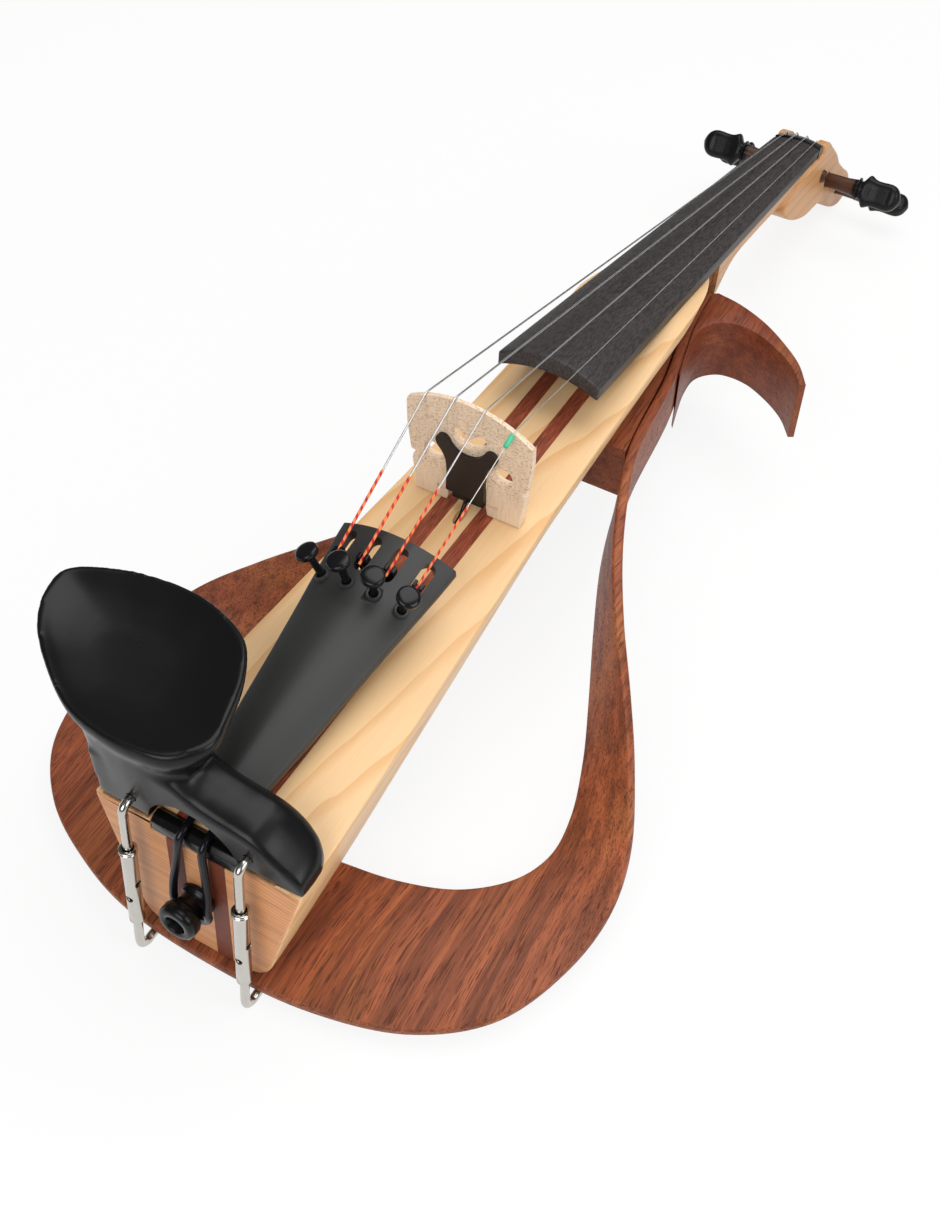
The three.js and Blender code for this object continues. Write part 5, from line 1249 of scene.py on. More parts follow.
def tailpiece_shell(p):
    width = [(place, w) for place, w, _ in TAILPIECE_SHARES]
    rise = [(place, c) for place, _, c in TAILPIECE_SHARES]
    rings = []
    for place in np.unique(np.concatenate([np.linspace(0, 1, 46), [0.006, 0.994]])):
        half = read(width, place, 0.03) * p.tailpiece_half
        top = read(rise, place, 0.05) * p.tailpiece_crown
        power = read([(0, 2.0), (0.35, 1.9), (0.8, 1.45), (1, 1.4)], place)
        y = -place * p.tailpiece_length
        us = np.linspace(1, -1, 41)
        over = [(u * half, y, top * (1 - (abs(u) ** power if abs(u) > 0.08 else
                                          0.08 ** power * (0.5 + 0.5 * (u / 0.08) ** 2))))
                for u in us]
        under = [(u * half, y, top * (1 - u ** 2) * 0.8 - p.tailpiece_wall) for u in us[::-1]]
        rings.append(over + under)
    return loft(rings)


# In the same frame: the knob, the screw's bore and the lever's slot; then the gut's holes in the
# tailpiece's frame, and half the pitch of the thread
KNOB_HEIGHT = 3.4
KNOB_BASE = 9
TUNER_BORE = 1.65
SLOT_HALF, SLOT_FRONT, SLOT_BACK = 2.3, -5.5, -14.7
GUT_HALF, GUT_HOLE_DEPTH, GUT_HOLE_Z = 4, 9, -0.5
THREAD_PITCH = 0.25


def knob_profile(p):
    """A fine tuner's turned head, from its foot on the stem to its slightly domed top."""
    r, top = p.knob_radius, KNOB_BASE + KNOB_HEIGHT
    return [(0, KNOB_BASE), (2, KNOB_BASE), (2.2, KNOB_BASE + 0.35), (r - 0.5, KNOB_BASE + 0.75),
            (r - 0.1, KNOB_BASE + 1.05), (r, KNOB_BASE + 1.35), (r, top - 0.95), (r - 0.12, top - 0.65),
            (r - 0.55, top - 0.35), (r - 1.3, top - 0.15), (r - 2.4, top - 0.04), (0, top)]


def build_tailpiece(p):
    piece = worked(mesh_object("tailpiece_finished", tailpiece_shell(p), p.tailpiece),
                   edges_eased(0.55, 2, 45))
    slot = upright([(SLOT_HALF * math.cos(a), end + SLOT_HALF * math.sin(a)) for end, angles in
                    ((SLOT_FRONT, np.linspace(0, math.pi, 9)),
                     (SLOT_BACK, np.linspace(math.pi, math.tau, 9)))
                    for a in angles], -OVERRUN, OVERRUN)
    bore = turned(rod(TUNER_BORE, 60), (0, -SCREW_AT, -OVERRUN))
    collar = turned([(TUNER_BORE, -1.5), (2.6, -1.5), (2.6, 0.3), (2.3, 0.7), (TUNER_BORE, 0.7)],
                    (0, -SCREW_AT, 0))
    holes = [turned(rod(1.6, GUT_HOLE_DEPTH + OVERRUN),
                    (side * GUT_HALF, GUT_HOLE_DEPTH - p.tailpiece_length, GUT_HOLE_Z), (0, -1, 0))
             for side in (-1, 1)]
    carved(piece, *holes, matrix=p.tailpiece)
    for string in STRINGS:
        carved(piece, slot, bore, matrix=p.tuner[string])
    for string in STRINGS:
        carved(piece, collar, matrix=p.tuner[string], operation="UNION")
    placed("tailpiece", piece, sharp=40)
    build_tuners(p)


def build_tuners(p):
    """Knob, threaded screw and bell-crank lever of each fine tuner, in the tuner's own frame."""
    foot = LEVER_Z + 1.5 + GAP
    arm = SCREW_AT - LEVER_Y + 1.3
    threads = int((KNOB_BASE - foot - 1.2) / THREAD_PITCH)
    stem = [(0, foot), (0.9, foot), (1.3, foot + 0.4)] + [
        (1.3 - 0.12 * (i % 2), foot + 0.4 + THREAD_PITCH * (i + 1)) for i in range(threads)] + [
            (1.3, KNOB_BASE - GAP), (0, KNOB_BASE - GAP)]
    profile = [(-arm, -1.5), (-arm, 1.5), (-1.5, 1.5), (-1.3, FORK_TOP), (1.3, FORK_TOP), (1.5, 1.5),
               (1.5, -1.5)]
    screw = (0, -SCREW_AT, 0)
    for string in STRINGS:
        tuner = p.tuner[string]
        made(f"tuner_screw_{string}", turned(stem, screw, sides=20), tuner, sharp=60)
        made(f"tuner_knob_{string}", turned(knob_profile(p), screw, sides=48), tuner, sharp=50)
        at = tuner @ Matrix.Translation((0, -LEVER_Y, LEVER_Z))
        lever = mesh_object(f"tuner_lever_{string}_finished", across(profile, -1.95, 1.95), at)
        carved(lever, box(-0.7, 0.7, -OVERRUN, OVERRUN, FORK_TOP - 2.6, OVERRUN), matrix=at)
        placed(f"tuner_lever_{string}", worked(lever, edges_eased(0.25, 2, 40)))


# Strings, and their windings on the pegs
STRING_RADII = {"g": 0.36, "d": 0.37, "a": 0.30, "e": 0.17}
STRING_SIDES = 12
WINDING_TURNS, WINDING_STEPS = 3.25, 40
WINDING_GAP, WINDING_MARGIN = 0.45, 2.4
# Places along a string: where its silk ends, and where its winding on the peg is taken to start
WINDING_START = 400
SILK_END, SILK_SWELL = 34, 0.14


def string_wire(p, string):
    """The string's corners from the lever's fork to its peg, and its winding."""
    radius = STRING_RADII[string]
    side = PEG_SHARES[string][0]
    lift = radius + GAP / 2
    start = p.tuner[string] @ Vector((0, -LEVER_Y - 2.7, LEVER_Z + FORK_TOP - 1.3))
    over_x = ORDER[string] * p.bridge_spacing
    back = -p.bridge_thickness / 2
    over_back, over_front = (p.bridge @ Vector((over_x, y, crown(p, over_x) + lift))
                             for y in (back - GAP, back + p.bridge_top + GAP))
    nut_x = ORDER[string] * p.nut_spacing
    nut_top = NUT_LIFT - p.drop(nut_x) + lift
    nut_back = Vector((nut_x, p.nut_length + GAP, nut_top))
    peg = peg_place(p, string)
    coil = peg_radius(p, p.head_half - CHEEK) + radius + GAP / 2
    away = peg - nut_back
    slope = math.atan2(away.z, away.y) + math.asin(coil / math.hypot(away.y, away.z))
    pitch = 2 * radius + WINDING_GAP
    lane = side * (p.head_half - CHEEK - WINDING_MARGIN - WINDING_TURNS * pitch)

    def on_peg(angle, aside):
        return Vector((lane + aside, -coil * math.sin(slope - angle), coil * math.cos(slope - angle)))
    meet = on_peg(0, 0) + peg
    short = math.sqrt((coil + 2 * radius + GAP / 2) ** 2 - coil ** 2)
    end = nut_back.lerp(meet, 1 - short / (meet - nut_back).length)
    corners = [start, over_back, over_front, p.neck @ Vector((nut_x, GAP, nut_top)),
               p.neck @ nut_back, p.neck @ end]
    turns = [on_peg(share * math.tau, side * share * pitch) + peg for share in
             np.arange(WINDING_TURNS * WINDING_STEPS + 1) / WINDING_STEPS]
    return radius, corners, turns


def places_along(points):
    """How far along its line each point lies."""
    return np.concatenate([[0], np.cumsum(np.linalg.norm(np.diff(points, axis=0), axis=1))])


def wound_piece(node, points, radii, matrix, start):
    """A string's piece; its mesh stores the place along the string and round it, for the wrapping."""
    piece = mesh_object(node + "_finished", tube(points, radii, STRING_SIDES), matrix)
    if len(piece.data.vertices) != len(points) * STRING_SIDES:
        raise RuntimeError(f"{node} lost points, so its wrapping has no place")
    angles = np.arange(STRING_SIDES) / STRING_SIDES * math.tau
    values = [(start + at, math.sin(a), math.cos(a)) for at in places_along(points) for a in angles]
    store = piece.data.attributes.new("wrap", "FLOAT_VECTOR", "POINT")
    store.data.foreach_set("vector", np.array(values, np.float32).ravel())
    placed(node, piece, sharp=60)


def build_strings(p):
    for string in STRINGS:
        radius, corners, turns = string_wire(p, string)
        path = [corners[0].lerp(corners[1], share) for share in np.linspace(0, 1, 80)]
        path += corners[2:3] + [corners[2].lerp(corners[3], share) for share in
                                np.linspace(0, 1, 60)[1:]] + corners[4:]
        points = np.array(path)
        along = places_along(points)
        swell = np.where(along < SILK_END, max(radius + SILK_SWELL, 0.42), radius)
        swell[along > (corners[1] - corners[0]).length - 2] = radius
        wound_piece(f"string_{string}", points, swell, Matrix.Identity(4), 0)
        wound_piece(f"string_winding_{string}", np.array(turns), radius, p.neck, WINDING_START)
        if string == "e":
            back = (corners[0] - corners[1]).normalized()
            bore = radius + GAP / 2
            made("string_sleeve_e", turned(
                [(bore, 0), (bore + 0.45, 0), (bore + 0.6, 0.2), (bore + 0.6, 4.8),
                 (bore + 0.45, 5), (bore, 5)], corners[1] + back * GAP * 2, back, 24), sharp=50)


# Tail: saddle, button, gut

def build_tail(p):
    proud, sink = 1.6, SADDLE_SINK
    profile = [(p.tail_plane(-sink), -sink), (p.saddle_front, -sink), (p.saddle_front, 0),
               (p.saddle_front - proud, proud), (p.tail_plane(0) + proud, proud),
               (p.tail_plane(0), 0)]
    made("saddle", across(profile, -p.saddle_width / 2, p.saddle_width / 2), ease=0.5)

    length, radius, groove, bore = 12.5, 6.6, 4.6, 3.4
    shape = [(0, -BUTTON_DEPTH), (3.1, -BUTTON_DEPTH), (BUTTON_SHANK, 1 - BUTTON_DEPTH),
             (BUTTON_SHANK, GAP), (5.7, GAP), (6, GAP + 0.3),
             (6, GAP + 1.4), (5.6, GAP + 1.8), (4.7, length * 0.22), (groove, length * 0.3),
             (groove, length * 0.46), (4.9, length * 0.54), (6.1, length * 0.6),
             (radius, length * 0.68), (radius, length * 0.86), (6.3, length * 0.95),
             (5.6, length), (bore + 0.4, length), (bore, length - 0.4), (bore * 0.85, length * 0.5),
             (0, length * 0.42)]
    made("end_button", turned(shape, p.button_seat, p.button_out, 64), sharp=50)

    gut, half = 1.3, GUT_HALF
    inner = p.tailpiece @ Vector((0, GUT_HOLE_DEPTH - GAP - p.tailpiece_length, GUT_HOLE_Z))
    outer = p.tailpiece @ Vector((0, -p.tailpiece_length, GUT_HOLE_Z))
    over = proud + gut + GAP
    groove_at = p.button_seat + p.button_out * length * 0.35
    loop = groove + gut + GAP * 2
    edge = -p.behind_bridge

    def side(way):
        return [(way * half, inner.y, inner.z), (way * half, outer.y, outer.z),
                (way * half, p.saddle_front - 1, over + 0.4), (way * half, p.saddle_front - 3.6, over),
                (way * half * 1.04, edge - 1.15, 1.6), (way * half * 1.1, edge - 2.2, -1.4),
                (way * half * 1.2, edge - 2.9, -5.5), (way * half * 1.36, edge - 4.0, -11),
                (way * loop * 0.96, edge - 5.6, -17.5)]
    round_button = [(loop * math.cos(share * math.pi), groove_at.y,
                     groove_at.z - loop * math.sin(share * math.pi))
                    for share in (-0.1, 0.1, 0.3, 0.5, 0.7, 0.9, 1.1)]
    points = side(1) + round_button + side(-1)[::-1]
    made("tail_gut", bent(points, gut, 260, 20), sharp=60)


# Chin rest and clamps

# The bar's section in shares of its depth and height; then its rows: aside, height, depth
REST_SHARES = [(0, 0), (1, 0), (1, 0.55), (0.95, 0.8), (0.8, 0.95), (0.56, 1), (0.3, 0.99),
               (0.1, 0.95), (0, 0.88)]
REST_ROW_SHARES = [
    (-1, 1.25, 1), (-0.6, 1.4, 1), (-0.35, 1.46, 1), (-0.12, 1.42, 1), (0, 1.28, 1), (0.06, 1.2, 1),
    (0.14, 1.13, 1), (0.3, 1.06, 1), (0.44, 1.02, 1), (0.56, 0.97, 1), (0.66, 0.85, 1),
    (0.76, 0.69, 0.97), (0.87, 0.53, 0.88), (0.95, 0.42, 0.74), (1, 0.3, 0.55)]
# The arch over the tailpiece, the hooks' place in the back of the bar, and the thread in each barrel
ARCH_SHARES = [(1, -0.3), (1, 0), (0.94, 0.3), (0.8, 0.59), (0.54, 0.84), (0.24, 0.98), (0, 1)]
ARCH_HEIGHT = 16.7
HOOK_HEIGHT, HOOK_DEPTH = 9.5, 9
THREADED_END = 13
# Places from the tail edge: the middle of the cup's rim, its foot, and the middle behind its wall
CUP_MIDDLE, CUP_FOOT, WALL_CENTRE = (-35, 26), (-18, 11), (-22, 22)
# The cup's outline in its half sizes; then its rows: place from foot to rim, height, scale
CUP_SHARES = [
    (0.93, -0.5), (0.88, -0.1), (0.76, 0.4), (0.56, 0.78), (0.1, 1), (-0.3, 0.97), (-0.62, 0.85),
    (-0.93, 0.55), (-0.9, 0.15), (-0.75, -0.2), (-0.5, -0.52), (-0.12, -0.86), (0.2, -0.96),
    (0.45, -0.96), (0.74, -0.86)]
CUP_ROW_SHARES = [
    (0, 0, 0.24), (0.08, 0.22, 0.38), (0.28, 0.45, 0.50), (0.52, 0.64, 0.66), (0.74, 0.79, 0.84),
    (0.9, 0.90, 0.965), (1, 0.975, 1), (1, 1, 0.975), (1, 0.99, 0.935), (0.99, 0.955, 0.85),
    (0.985, 0.92, 0.73), (0.975, 0.89, 0.58), (0.965, 0.865, 0.41), (0.96, 0.855, 0.24),
    (0.96, 0.85, 0.08)]
# The cup's tail wall: its line under the rim and at its foot, measured from the tail's edge; then its
# rows: height, share of the way from foot to rim, depth
WALL_RIM = [(-43, 7.5), (-39, 4), (-33, 1), (-26, -0.5), (-19.5, -1), (-14, -0.5), (-9, 0.8),
            (-4, 3), (-1, 6)]
WALL_FOOT = [(-34, 8), (-34, 3), (-33, 0), (-26, 0), (-19.5, 0), (-14, 0), (-9, 0), (-3, 0), (5, 0)]
WALL_ROWS = [(1.9, 0, 14), (12, 0.55, 16), (24, 0.85, 16), (32, 1, 12), (36, 1, 2.2)]


def bar_shell(p, bottom):
    """The bar of the chin rest across the tail: its section squeezed and stretched row by row."""
    return loft([[(aside * (p.rest_bass if aside < 0 else p.rest_treble),
                   p.rest_back + p.rest_depth * back * deep, bottom + p.rest_height * up * tall)
                  for back, up in REST_SHARES] for aside, tall, deep in REST_ROW_SHARES])


def cup_shell(p, bottom):
    """The cup: its outline at each row, moved from the foot towards the rim and into the dish."""
    middle = (CUP_MIDDLE[0], CUP_MIDDLE[1] - p.behind_bridge, p.cup_height)
    foot = (CUP_FOOT[0], CUP_FOOT[1] - p.behind_bridge, bottom)
    outline = curve_through([(x * p.cup_half_length, y * p.cup_half_width) for x, y in CUP_SHARES],
                            np.linspace(0, 1, 121)[:-1], closed=True)
    return loft([[(lerp(foot[0], middle[0], aside) + x * scale,
                   lerp(foot[1], middle[1], aside) + y * scale,
                   lerp(foot[2], middle[2], up)) for x, y in outline]
                 for aside, up, scale in curve_through(CUP_ROW_SHARES, np.linspace(0, 1, 60))])


def wall_shell(p):
    """The cup's tail wall, from its foot on the bar to its line under the rim."""
    centre = Vector((WALL_CENTRE[0], p.rest_back + WALL_CENTRE[1]))
    rings = []
    for z, share, deep in WALL_ROWS:
        line = [Vector((lerp(a[0], b[0], share), lerp(a[1], b[1], share) + p.rest_back))
                for a, b in zip(WALL_FOOT, WALL_RIM)]
        inner = [q + (centre - q).normalized() * deep for q in line]
        rings.append([(q.x, q.y, z) for q in line + inner[::-1]])
    return loft(rings)


def build_chin_rest(p):
    bottom = p.cork + GAP
    front = p.rest_back + p.rest_depth
    rest = mesh_object("chin_rest_finished", bar_shell(p, bottom))
    carved(rest, cup_shell(p, bottom), wall_shell(p), operation="UNION")
    worked(rest, *fused(0.7, 26))
    right = curve_through([(x * p.arch_half, z * ARCH_HEIGHT) for x, z in ARCH_SHARES],
                          np.linspace(0, 1, 30))
    arch = [tuple(row) for row in right] + [(-x, z) for x, z in right[::-1][1:]]
    hooks = [turned(rod(p.hook + GAP, OVERRUN), (side * p.clamp_half, p.rest_back + HOOK_DEPTH,
                                                 HOOK_HEIGHT), (0, -1, 0), 24) for side in (-1, 1)]
    carved(rest, along_y(arch, p.rest_back - OVERRUN, front + OVERRUN), *hooks,
           box(-100, 100, -p.behind_bridge * 2, 0, -OVERRUN, bottom))
    placed("chin_rest", rest, sharp=45)
    inset = 0.8
    pads = {"chin_rest_cork_bass": (inset - p.rest_bass, -p.arch_half - GAP),
            "chin_rest_cork_treble": (p.arch_half + GAP, p.rest_treble * 0.74)}
    for node, (x0, x1) in pads.items():
        made(node, box(x0, x1, 0.1 - p.behind_bridge, front - inset, GAP, p.cork), ease=0.2)


def build_clamps(p):
    top, bottom = -0.16 * p.band_drop, -0.8 * p.band_drop
    foot_z = -p.band_drop - p.band / 2 - GAP - p.hook
    bend, curl, reach = p.hook * 2, 3.4, 11.5
    bore = p.hook + RUNNING_GAP
    barrel = [(bore, top), (2.5, top), (2.9, top - 0.3), (2.9, top - 0.7), (2.6, top - 0.95),
              (2.9, top - 1.2), (2.9, top - 1.6), (2.55, top - 1.9), (2.5, top - 2.4),
              (2.5, bottom + 0.8), (2.1, bottom), (bore, bottom)]

    def leg_at(z):
        return Vector((0, p.rest_back - LEG_STANDOFF + z * math.tan(p.clamp_lean), z))

    def wire(points, x):
        return bent([point + x for point in points], p.hook, 90, 24)
    turn, leg_foot = leg_at(HOOK_HEIGHT - bend * 1.3), leg_at(foot_z + curl)
    hook = [Vector((0, y, z)) for y, z in (
        (p.rest_back + HOOK_DEPTH - GAP, HOOK_HEIGHT), (p.rest_back, HOOK_HEIGHT),
        (turn.y + bend * 0.9, HOOK_HEIGHT), (turn.y + bend * 0.2, HOOK_HEIGHT - bend * 0.35))]
    hook += [turn, leg_at(top), leg_at(top - THREADED_END)]
    curled = [leg_foot + Vector((0, curl * along, curl * (up - 1)))
              for along, up in ((0.2, 0.4), (0.8, 0), (1.5, 0))]
    into = p.clamp.inverted()
    foot = [Vector((0, 0, bottom + THREADED_END)), Vector((0, 0, bottom))] + [
        into @ q for q in [leg_foot, *curled, Vector((0, leg_foot.y + reach, foot_z))]]
    for name, side in (("bass", -1), ("treble", 1)):
        x = Vector((side * p.clamp_half, 0, 0))
        made(f"clamp_hook_{name}", wire(hook, x), sharp=60)
        piece = mesh_object(f"clamp_barrel_{name}_finished", turned(barrel, x, sides=48), p.clamp)
        for share, way in ((0.45, Vector((1, 0, 0))), (0.64, Vector((0, 1, 0)))):
            place = x + Vector((0, 0, lerp(top, bottom, share)))
            carved(piece, turned(rod(1.3, OVERRUN), place - way * OVERRUN / 2, way, 32), matrix=p.clamp)
        placed(f"clamp_barrel_{name}", worked(piece, edges_eased(0.15, 2, 40)), sharp=45)
        made(f"clamp_foot_{name}", wire(foot, x), p.clamp, sharp=60)


# Controls under the body

def build_volume_knob(p, place):
    """The knob: 24 shallow flutes round its skirt and a pointer groove in its face."""
    knob = [(3.3, -1), (7.4, -1), (7.6, -1.2), (7.6, -2.2), (7.1, -2.6), (7.0, -3), (6.6, -8.4),
            (6.2, -8.9), (5.6, -9), (0, -9), (0, -7.3), (3.3, -7.3)]
    piece = mesh_object("volume_knob_finished", turned(knob, place, sides=96), p.control)
    inwards = (VIOLIN @ p.control @ Matrix.Translation(place)).inverted()
    outwards = inwards.inverted()
    for vertex in piece.data.vertices:
        local = inwards @ vertex.co
        if -8.6 < local.z < -2.9 and math.hypot(local.x, local.y) > 6:
            shrink = 1 - 0.025 * (0.5 + 0.5 * math.cos(math.atan2(local.y, local.x) * 24))
            vertex.co = outwards @ Vector((local.x * shrink, local.y * shrink, local.z))
    carved(piece, box(-0.5, 0.5, place[1], place[1] + 5.6, -9 - OVERRUN, -8.2), matrix=p.control)
    placed("volume_knob", piece, sharp=40)


def build_controls(p):
    volume, jack = (0, 12.8, 0), (0, -12.16, 0)
    screws = [(0, y, 0) for y in (-COVER_SCREW_Y, COVER_SCREW_Y)]
    cover = mesh_object("control_cover_finished", box(
        -COVER_HALF_WIDTH, COVER_HALF_WIDTH, -COVER_HALF_LENGTH, COVER_HALF_LENGTH,
        0, COVER_THICKNESS), p.control)
    worked(cover, edges_eased(0.35, 2))
    holes = [turned(rod(radius, OVERRUN), (0, y, -OVERRUN / 2))
             for radius, (_, y, _) in ((4.3, volume), (5.9, jack))]
    holes += [turned(screw_cutter(1.6, 2.7, OVERRUN), place, sides=24) for place in screws]
    placed("control_cover", carved(cover, *holes, matrix=p.control))
    for i, place in enumerate(screws):
        made_screw(f"control_cover_screw_{i + 1}",
                   [(0, 0), (2.4, 0), (1.3, 1.1), (1.3, 9.7), (0, 11)], place, (1.5, 0.3, 0.7),
                   p.control, sides=32)
    top = COVER_THICKNESS + GAP
    made("volume_control", turned(
        [(0, -7), (2.6, -7), (3, -6.6), (3, -GAP), (4, -GAP), (4, top), (7.7, top), (8, top + 0.3),
         (8, top + 7.7), (7.7, top + 8), (0, top + 8)], volume), p.control)
    build_volume_knob(p, volume)
    made("jack_socket", turned(
        [(3.5, -0.9), (3.8, -1.2), (6.9, -1.2), (7.2, -0.95), (7.2, -GAP), (5.6, -GAP), (5.6, top),
         (8, top), (8, top + 2.4), (5.6, top + 2.4), (5.6, 22), (0, 22), (0, 20.8), (3.5, 20.8)],
        jack, sides=64), p.control, sharp=45)


# Stage

# The camera fitted to the photograph, in the violin's frame
CAMERA_PLACE = Vector((177.18, -309.50, 364.47))
CAMERA_TARGET = Vector((22.277, -31.811, 0))
CAMERA_ROLL = 0.015
FOCAL_PX = 1438.33
FRAME_PX = (940, 1215)
SHIFT_PX = (9.979, -21.504)
SENSOR_MM = 36.0

# Floor in metres, its fade to white in millimetres, the room's light, and each lamp as place, aim, size
# and watts
FLOOR_HALF = 6
FLOOR_WHITE, FADE_FROM, FADE_TO = 0.86, 550, 1300
ROOM_LIGHT, ROOM_IN_GLOSS = 0.40, 0.14
LAMPS = {
    "overhead": ((0.15, 0.35, 1.4), (0.0, 0.0, 0.03), 1.3, 14.0),
    "window": ((1.2, -0.2, 0.8), (0.0, -0.05, 0.03), 0.7, 6.0),
    "front": ((0.1, -1.25, 0.9), (0.0, -0.1, 0.03), 0.8, 8.0),
}


def build_camera():
    """A camera where the photograph's stood, with its roll and the shift of its frame."""
    place, target = VIOLIN @ CAMERA_PLACE, VIOLIN @ CAMERA_TARGET
    up = VIOLIN.to_3x3().normalized() @ Vector((0, 0, 1))
    ahead = (target - place).normalized()
    right = ahead.cross(up).normalized()
    level = right.cross(ahead)
    c, s = math.cos(CAMERA_ROLL), math.sin(CAMERA_ROLL)
    right, level = c * right + s * level, c * level - s * right
    data = bpy.data.cameras.new("photo_camera")
    data.sensor_fit = "VERTICAL"
    data.sensor_height = SENSOR_MM
    data.lens = FOCAL_PX * SENSOR_MM / FRAME_PX[1]
    data.shift_x = -SHIFT_PX[0] / FRAME_PX[1]
    data.shift_y = SHIFT_PX[1] / FRAME_PX[1]
    data.clip_start, data.clip_end = 0.02, 30
    camera = linked("photo_camera", data)
    turn = Matrix((right, level, -ahead)).transposed().to_4x4()
    camera.matrix_world = Matrix.Translation(place) @ turn
    bpy.context.scene.camera = camera


def build_floor():
    """A pale floor that keeps the shadow near the violin and turns to plain white further off."""
    floor = bpy.data.meshes.new("floor")
    floor.from_pydata([(x * FLOOR_HALF, y * FLOOR_HALF, 0) for x, y in
                       ((-1, -1), (1, -1), (1, 1), (-1, 1))], [], [(0, 1, 2, 3)])
    floor_object = linked("floor", floor)
    paint = Paint("pale_floor", **{"Base Color": (0.86, 0.86, 0.86, 1), "Roughness": 0.9,
                                   "Specular IOR Level": 0.0})
    grain = paint.noise((0.002, 0.002, 0.002))
    paint.set(Roughness=0.85 + grain * 0.1)
    path = paint.node("ShaderNodeLightPath")
    seen = Sum(paint, path.outputs["Is Camera Ray"]) + Sum(paint, path.outputs["Is Glossy Ray"]) \
        + Sum(paint, path.outputs["Is Transmission Ray"])
    white = paint.add("ShaderNodeEmission", sockets={"Color": (1, 1, 1, 1), "Strength": 1.0})
    x, y, _ = paint.parts()
    far = paint.step((x * x + y * y) ** 0.5, FADE_FROM, FADE_TO)
    blend = paint.add("ShaderNodeMixShader", sockets={
        0: paint.add("ShaderNodeMath", {"operation": "MINIMUM"}, {0: seen, 1: 1.0})
           * (FLOOR_WHITE + far * (1 - FLOOR_WHITE)),
        1: Sum(paint, paint.surface.outputs[0]), 2: white})
    paint.tree.links.new(blend.socket, paint.output.inputs["Surface"])
    floor.materials.append(paint.material)


def build_world():
    """A dim white room for the light, dimmer in reflections, and plain white where it is seen."""
    world = bpy.data.worlds.new("white_room")
    world.use_nodes = True
    nodes, links = world.node_tree.nodes, world.node_tree.links
    nodes.clear()
    out = nodes.new("ShaderNodeOutputWorld")
    room, backdrop, choose = (nodes.new(kind) for kind in (
        "ShaderNodeBackground", "ShaderNodeBackground", "ShaderNodeMixShader"))
    light_path = nodes.new("ShaderNodeLightPath")
    dimmed, either = nodes.new("ShaderNodeMath"), nodes.new("ShaderNodeMath")
    dimmed.operation, either.operation = "MULTIPLY_ADD", "MAXIMUM"
    dimmed.inputs[1].default_value = ROOM_IN_GLOSS - ROOM_LIGHT
    dimmed.inputs[2].default_value = ROOM_LIGHT
    backdrop.inputs["Color"].default_value = (1, 1, 1, 1)
    for start, end in (
            (light_path.outputs["Is Glossy Ray"], dimmed.inputs[0]),
            (dimmed.outputs[0], room.inputs["Strength"]),
            (light_path.outputs["Is Camera Ray"], either.inputs[0]),
            (light_path.outputs["Is Transmission Ray"], either.inputs[1]),
            (either.outputs[0], choose.inputs[0]), (room.outputs[0], choose.inputs[1]),
            (backdrop.outputs[0], choose.inputs[2]), (choose.outputs[0], out.inputs[0])):
        links.new(start, end)
    bpy.context.scene.world = world


def build_stage():
    build_camera()
    build_floor()
    build_world()
    for name, (where, aim, wide, power) in LAMPS.items():
        lamp = bpy.data.lights.new(name, "AREA")
        lamp.shape, lamp.size, lamp.size_y, lamp.energy = "RECTANGLE", wide, wide, power
        lamp_object = linked(name, lamp)
        lamp_object.location = where
        lamp_object.rotation_euler = (Vector(aim) - Vector(where)).to_track_quat(
            "-Z", "Y").to_euler()
    bpy.context.scene.view_settings.view_transform = "Standard"


# Operators and panel

class PiecesOperator(bpy.types.Operator):
    """Shared form of the operators: the pieces are built from the scene's sizes."""
    bl_options = {"REGISTER", "UNDO"}
    builder = None

    def execute(self, context):
        if not FINISHES:
            make_finishes()
        type(self).builder(layout())
        return {"FINISHED"}


class VIOLIN_OT_stage(bpy.types.Operator):
    """Set up the floor, the lamps, the white room and the camera"""
    bl_idname = "violin.stage"
    bl_label = "Stage"
    bl_options = {"REGISTER", "UNDO"}

    def execute(self, context):
        build_stage()
        return {"FINISHED"}


class VIOLIN_OT_body(PiecesOperator, bpy.types.Operator):
    """Build the five glued boards of the body"""
    bl_idname = "violin.body"
    bl_label = "Body"
    builder = build_body


class VIOLIN_OT_frame(PiecesOperator, bpy.types.Operator):
    """Build the walnut band, horn, neck block and their screws"""
    bl_idname = "violin.frame"
    bl_label = "Walnut frame"
    builder = build_frame


class VIOLIN_OT_neck(PiecesOperator, bpy.types.Operator):
    """Build the neck with its pegbox, the fingerboard and the nut"""
    bl_idname = "violin.neck"
    bl_label = "Neck"
    builder = build_neck


class VIOLIN_OT_pegs(PiecesOperator, bpy.types.Operator):
    """Build the four tuning pegs"""
    bl_idname = "violin.pegs"
    bl_label = "Pegs"
    builder = build_pegs


class VIOLIN_OT_bridge(PiecesOperator, bpy.types.Operator):
    """Build the bridge, the pickup plate and its lead"""
    bl_idname = "violin.bridge"
    bl_label = "Bridge and pickup"
    builder = build_bridge


class VIOLIN_OT_tailpiece(PiecesOperator, bpy.types.Operator):
    """Build the tailpiece and its four fine tuners"""
    bl_idname = "violin.tailpiece"
    bl_label = "Tailpiece"
    builder = build_tailpiece


class VIOLIN_OT_strings(PiecesOperator, bpy.types.Operator):
    """Build the four strings with their windings"""
    bl_idname = "violin.strings"
    bl_label = "Strings"
    builder = build_strings


class VIOLIN_OT_tail(PiecesOperator, bpy.types.Operator):
    """Build the saddle, the end button and the tail gut"""
    bl_idname = "violin.tail"
    bl_label = "Tail fittings"
    builder = build_tail


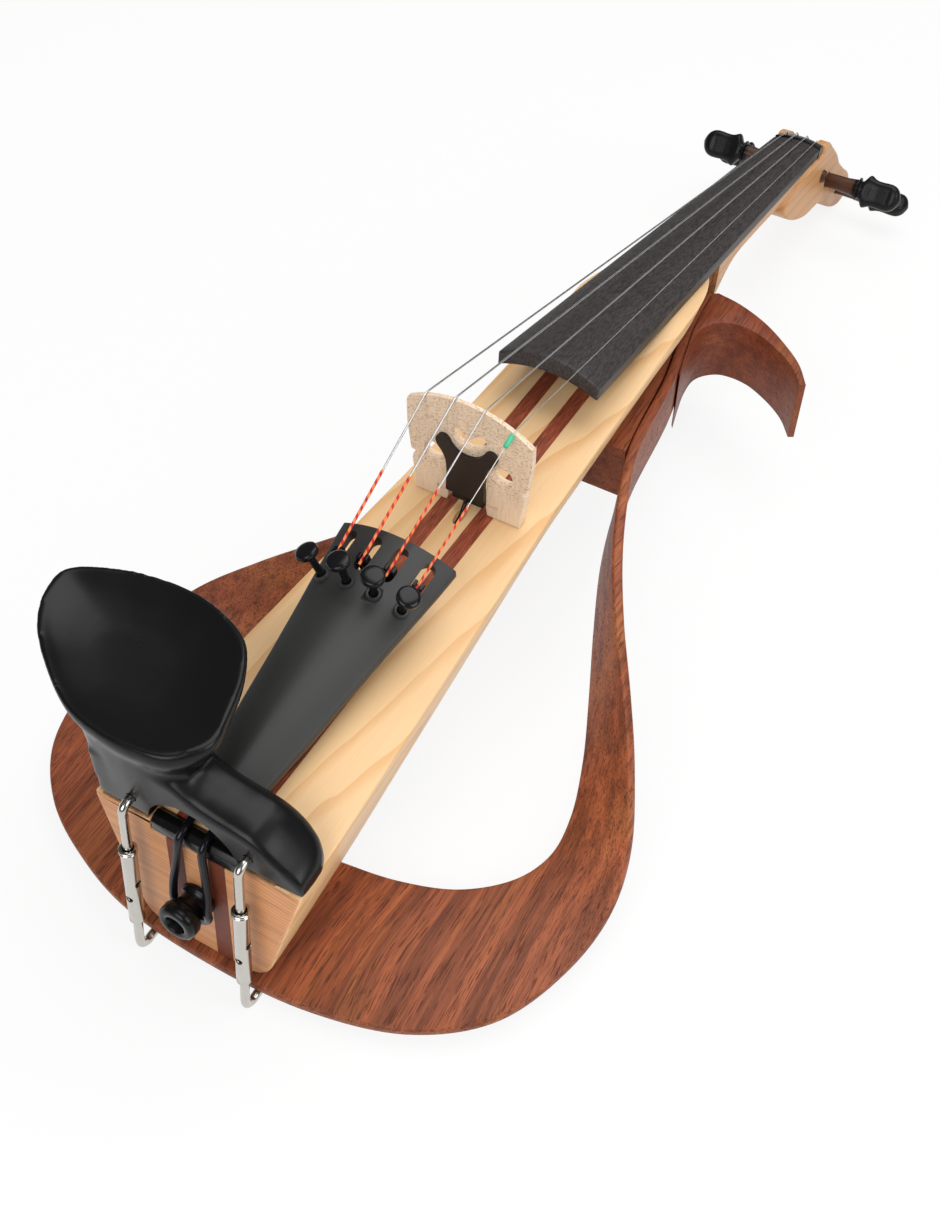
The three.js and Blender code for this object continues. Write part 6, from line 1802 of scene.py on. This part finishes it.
class VIOLIN_OT_chin_rest(PiecesOperator, bpy.types.Operator):
    """Build the chin rest and its cork"""
    bl_idname = "violin.chin_rest"
    bl_label = "Chin rest"
    builder = build_chin_rest


class VIOLIN_OT_clamps(PiecesOperator, bpy.types.Operator):
    """Build the two chin rest clamps"""
    bl_idname = "violin.clamps"
    bl_label = "Chin rest clamps"
    builder = build_clamps


class VIOLIN_OT_controls(PiecesOperator, bpy.types.Operator):
    """Build the control cover, the volume knob and the socket"""
    bl_idname = "violin.controls"
    bl_label = "Controls"
    builder = build_controls


OPERATORS = (
    VIOLIN_OT_stage, VIOLIN_OT_body, VIOLIN_OT_frame, VIOLIN_OT_neck, VIOLIN_OT_pegs,
    VIOLIN_OT_bridge, VIOLIN_OT_tailpiece, VIOLIN_OT_strings, VIOLIN_OT_tail,
    VIOLIN_OT_chin_rest, VIOLIN_OT_clamps, VIOLIN_OT_controls,
)


class VIOLIN_PT_pieces(bpy.types.Panel):
    """Sizes, colours and builders of the violin"""
    bl_label = "Violin"
    bl_idname = "VIOLIN_PT_pieces"
    bl_space_type = "VIEW_3D"
    bl_region_type = "UI"
    bl_category = "Violin"

    def draw(self, context):
        for operator in OPERATORS:
            self.layout.operator(operator.bl_idname)
        for group in (*GROUPS, "violin_colours"):
            column = self.layout.column()
            for prop in getattr(context.scene, group).bl_rna.properties:
                if prop.identifier not in ("rna_type", "name"):
                    column.prop(getattr(context.scene, group), prop.identifier)


CLASSES = (*GROUPS.values(), Colours, *OPERATORS, VIOLIN_PT_pieces)


def register():
    for item in CLASSES:
        bpy.utils.register_class(item)
    for name, group in (*GROUPS.items(), ("violin_colours", Colours)):
        setattr(bpy.types.Scene, name, bpy.props.PointerProperty(type=group))


def unregister():
    for name in (*GROUPS, "violin_colours"):
        delattr(bpy.types.Scene, name)
    for item in reversed(CLASSES):
        bpy.utils.unregister_class(item)


def main():
    register()
    for operator in OPERATORS:
        family, name = operator.bl_idname.split(".")
        getattr(getattr(bpy.ops, family), name)()


if __name__ == "__main__":
    main()
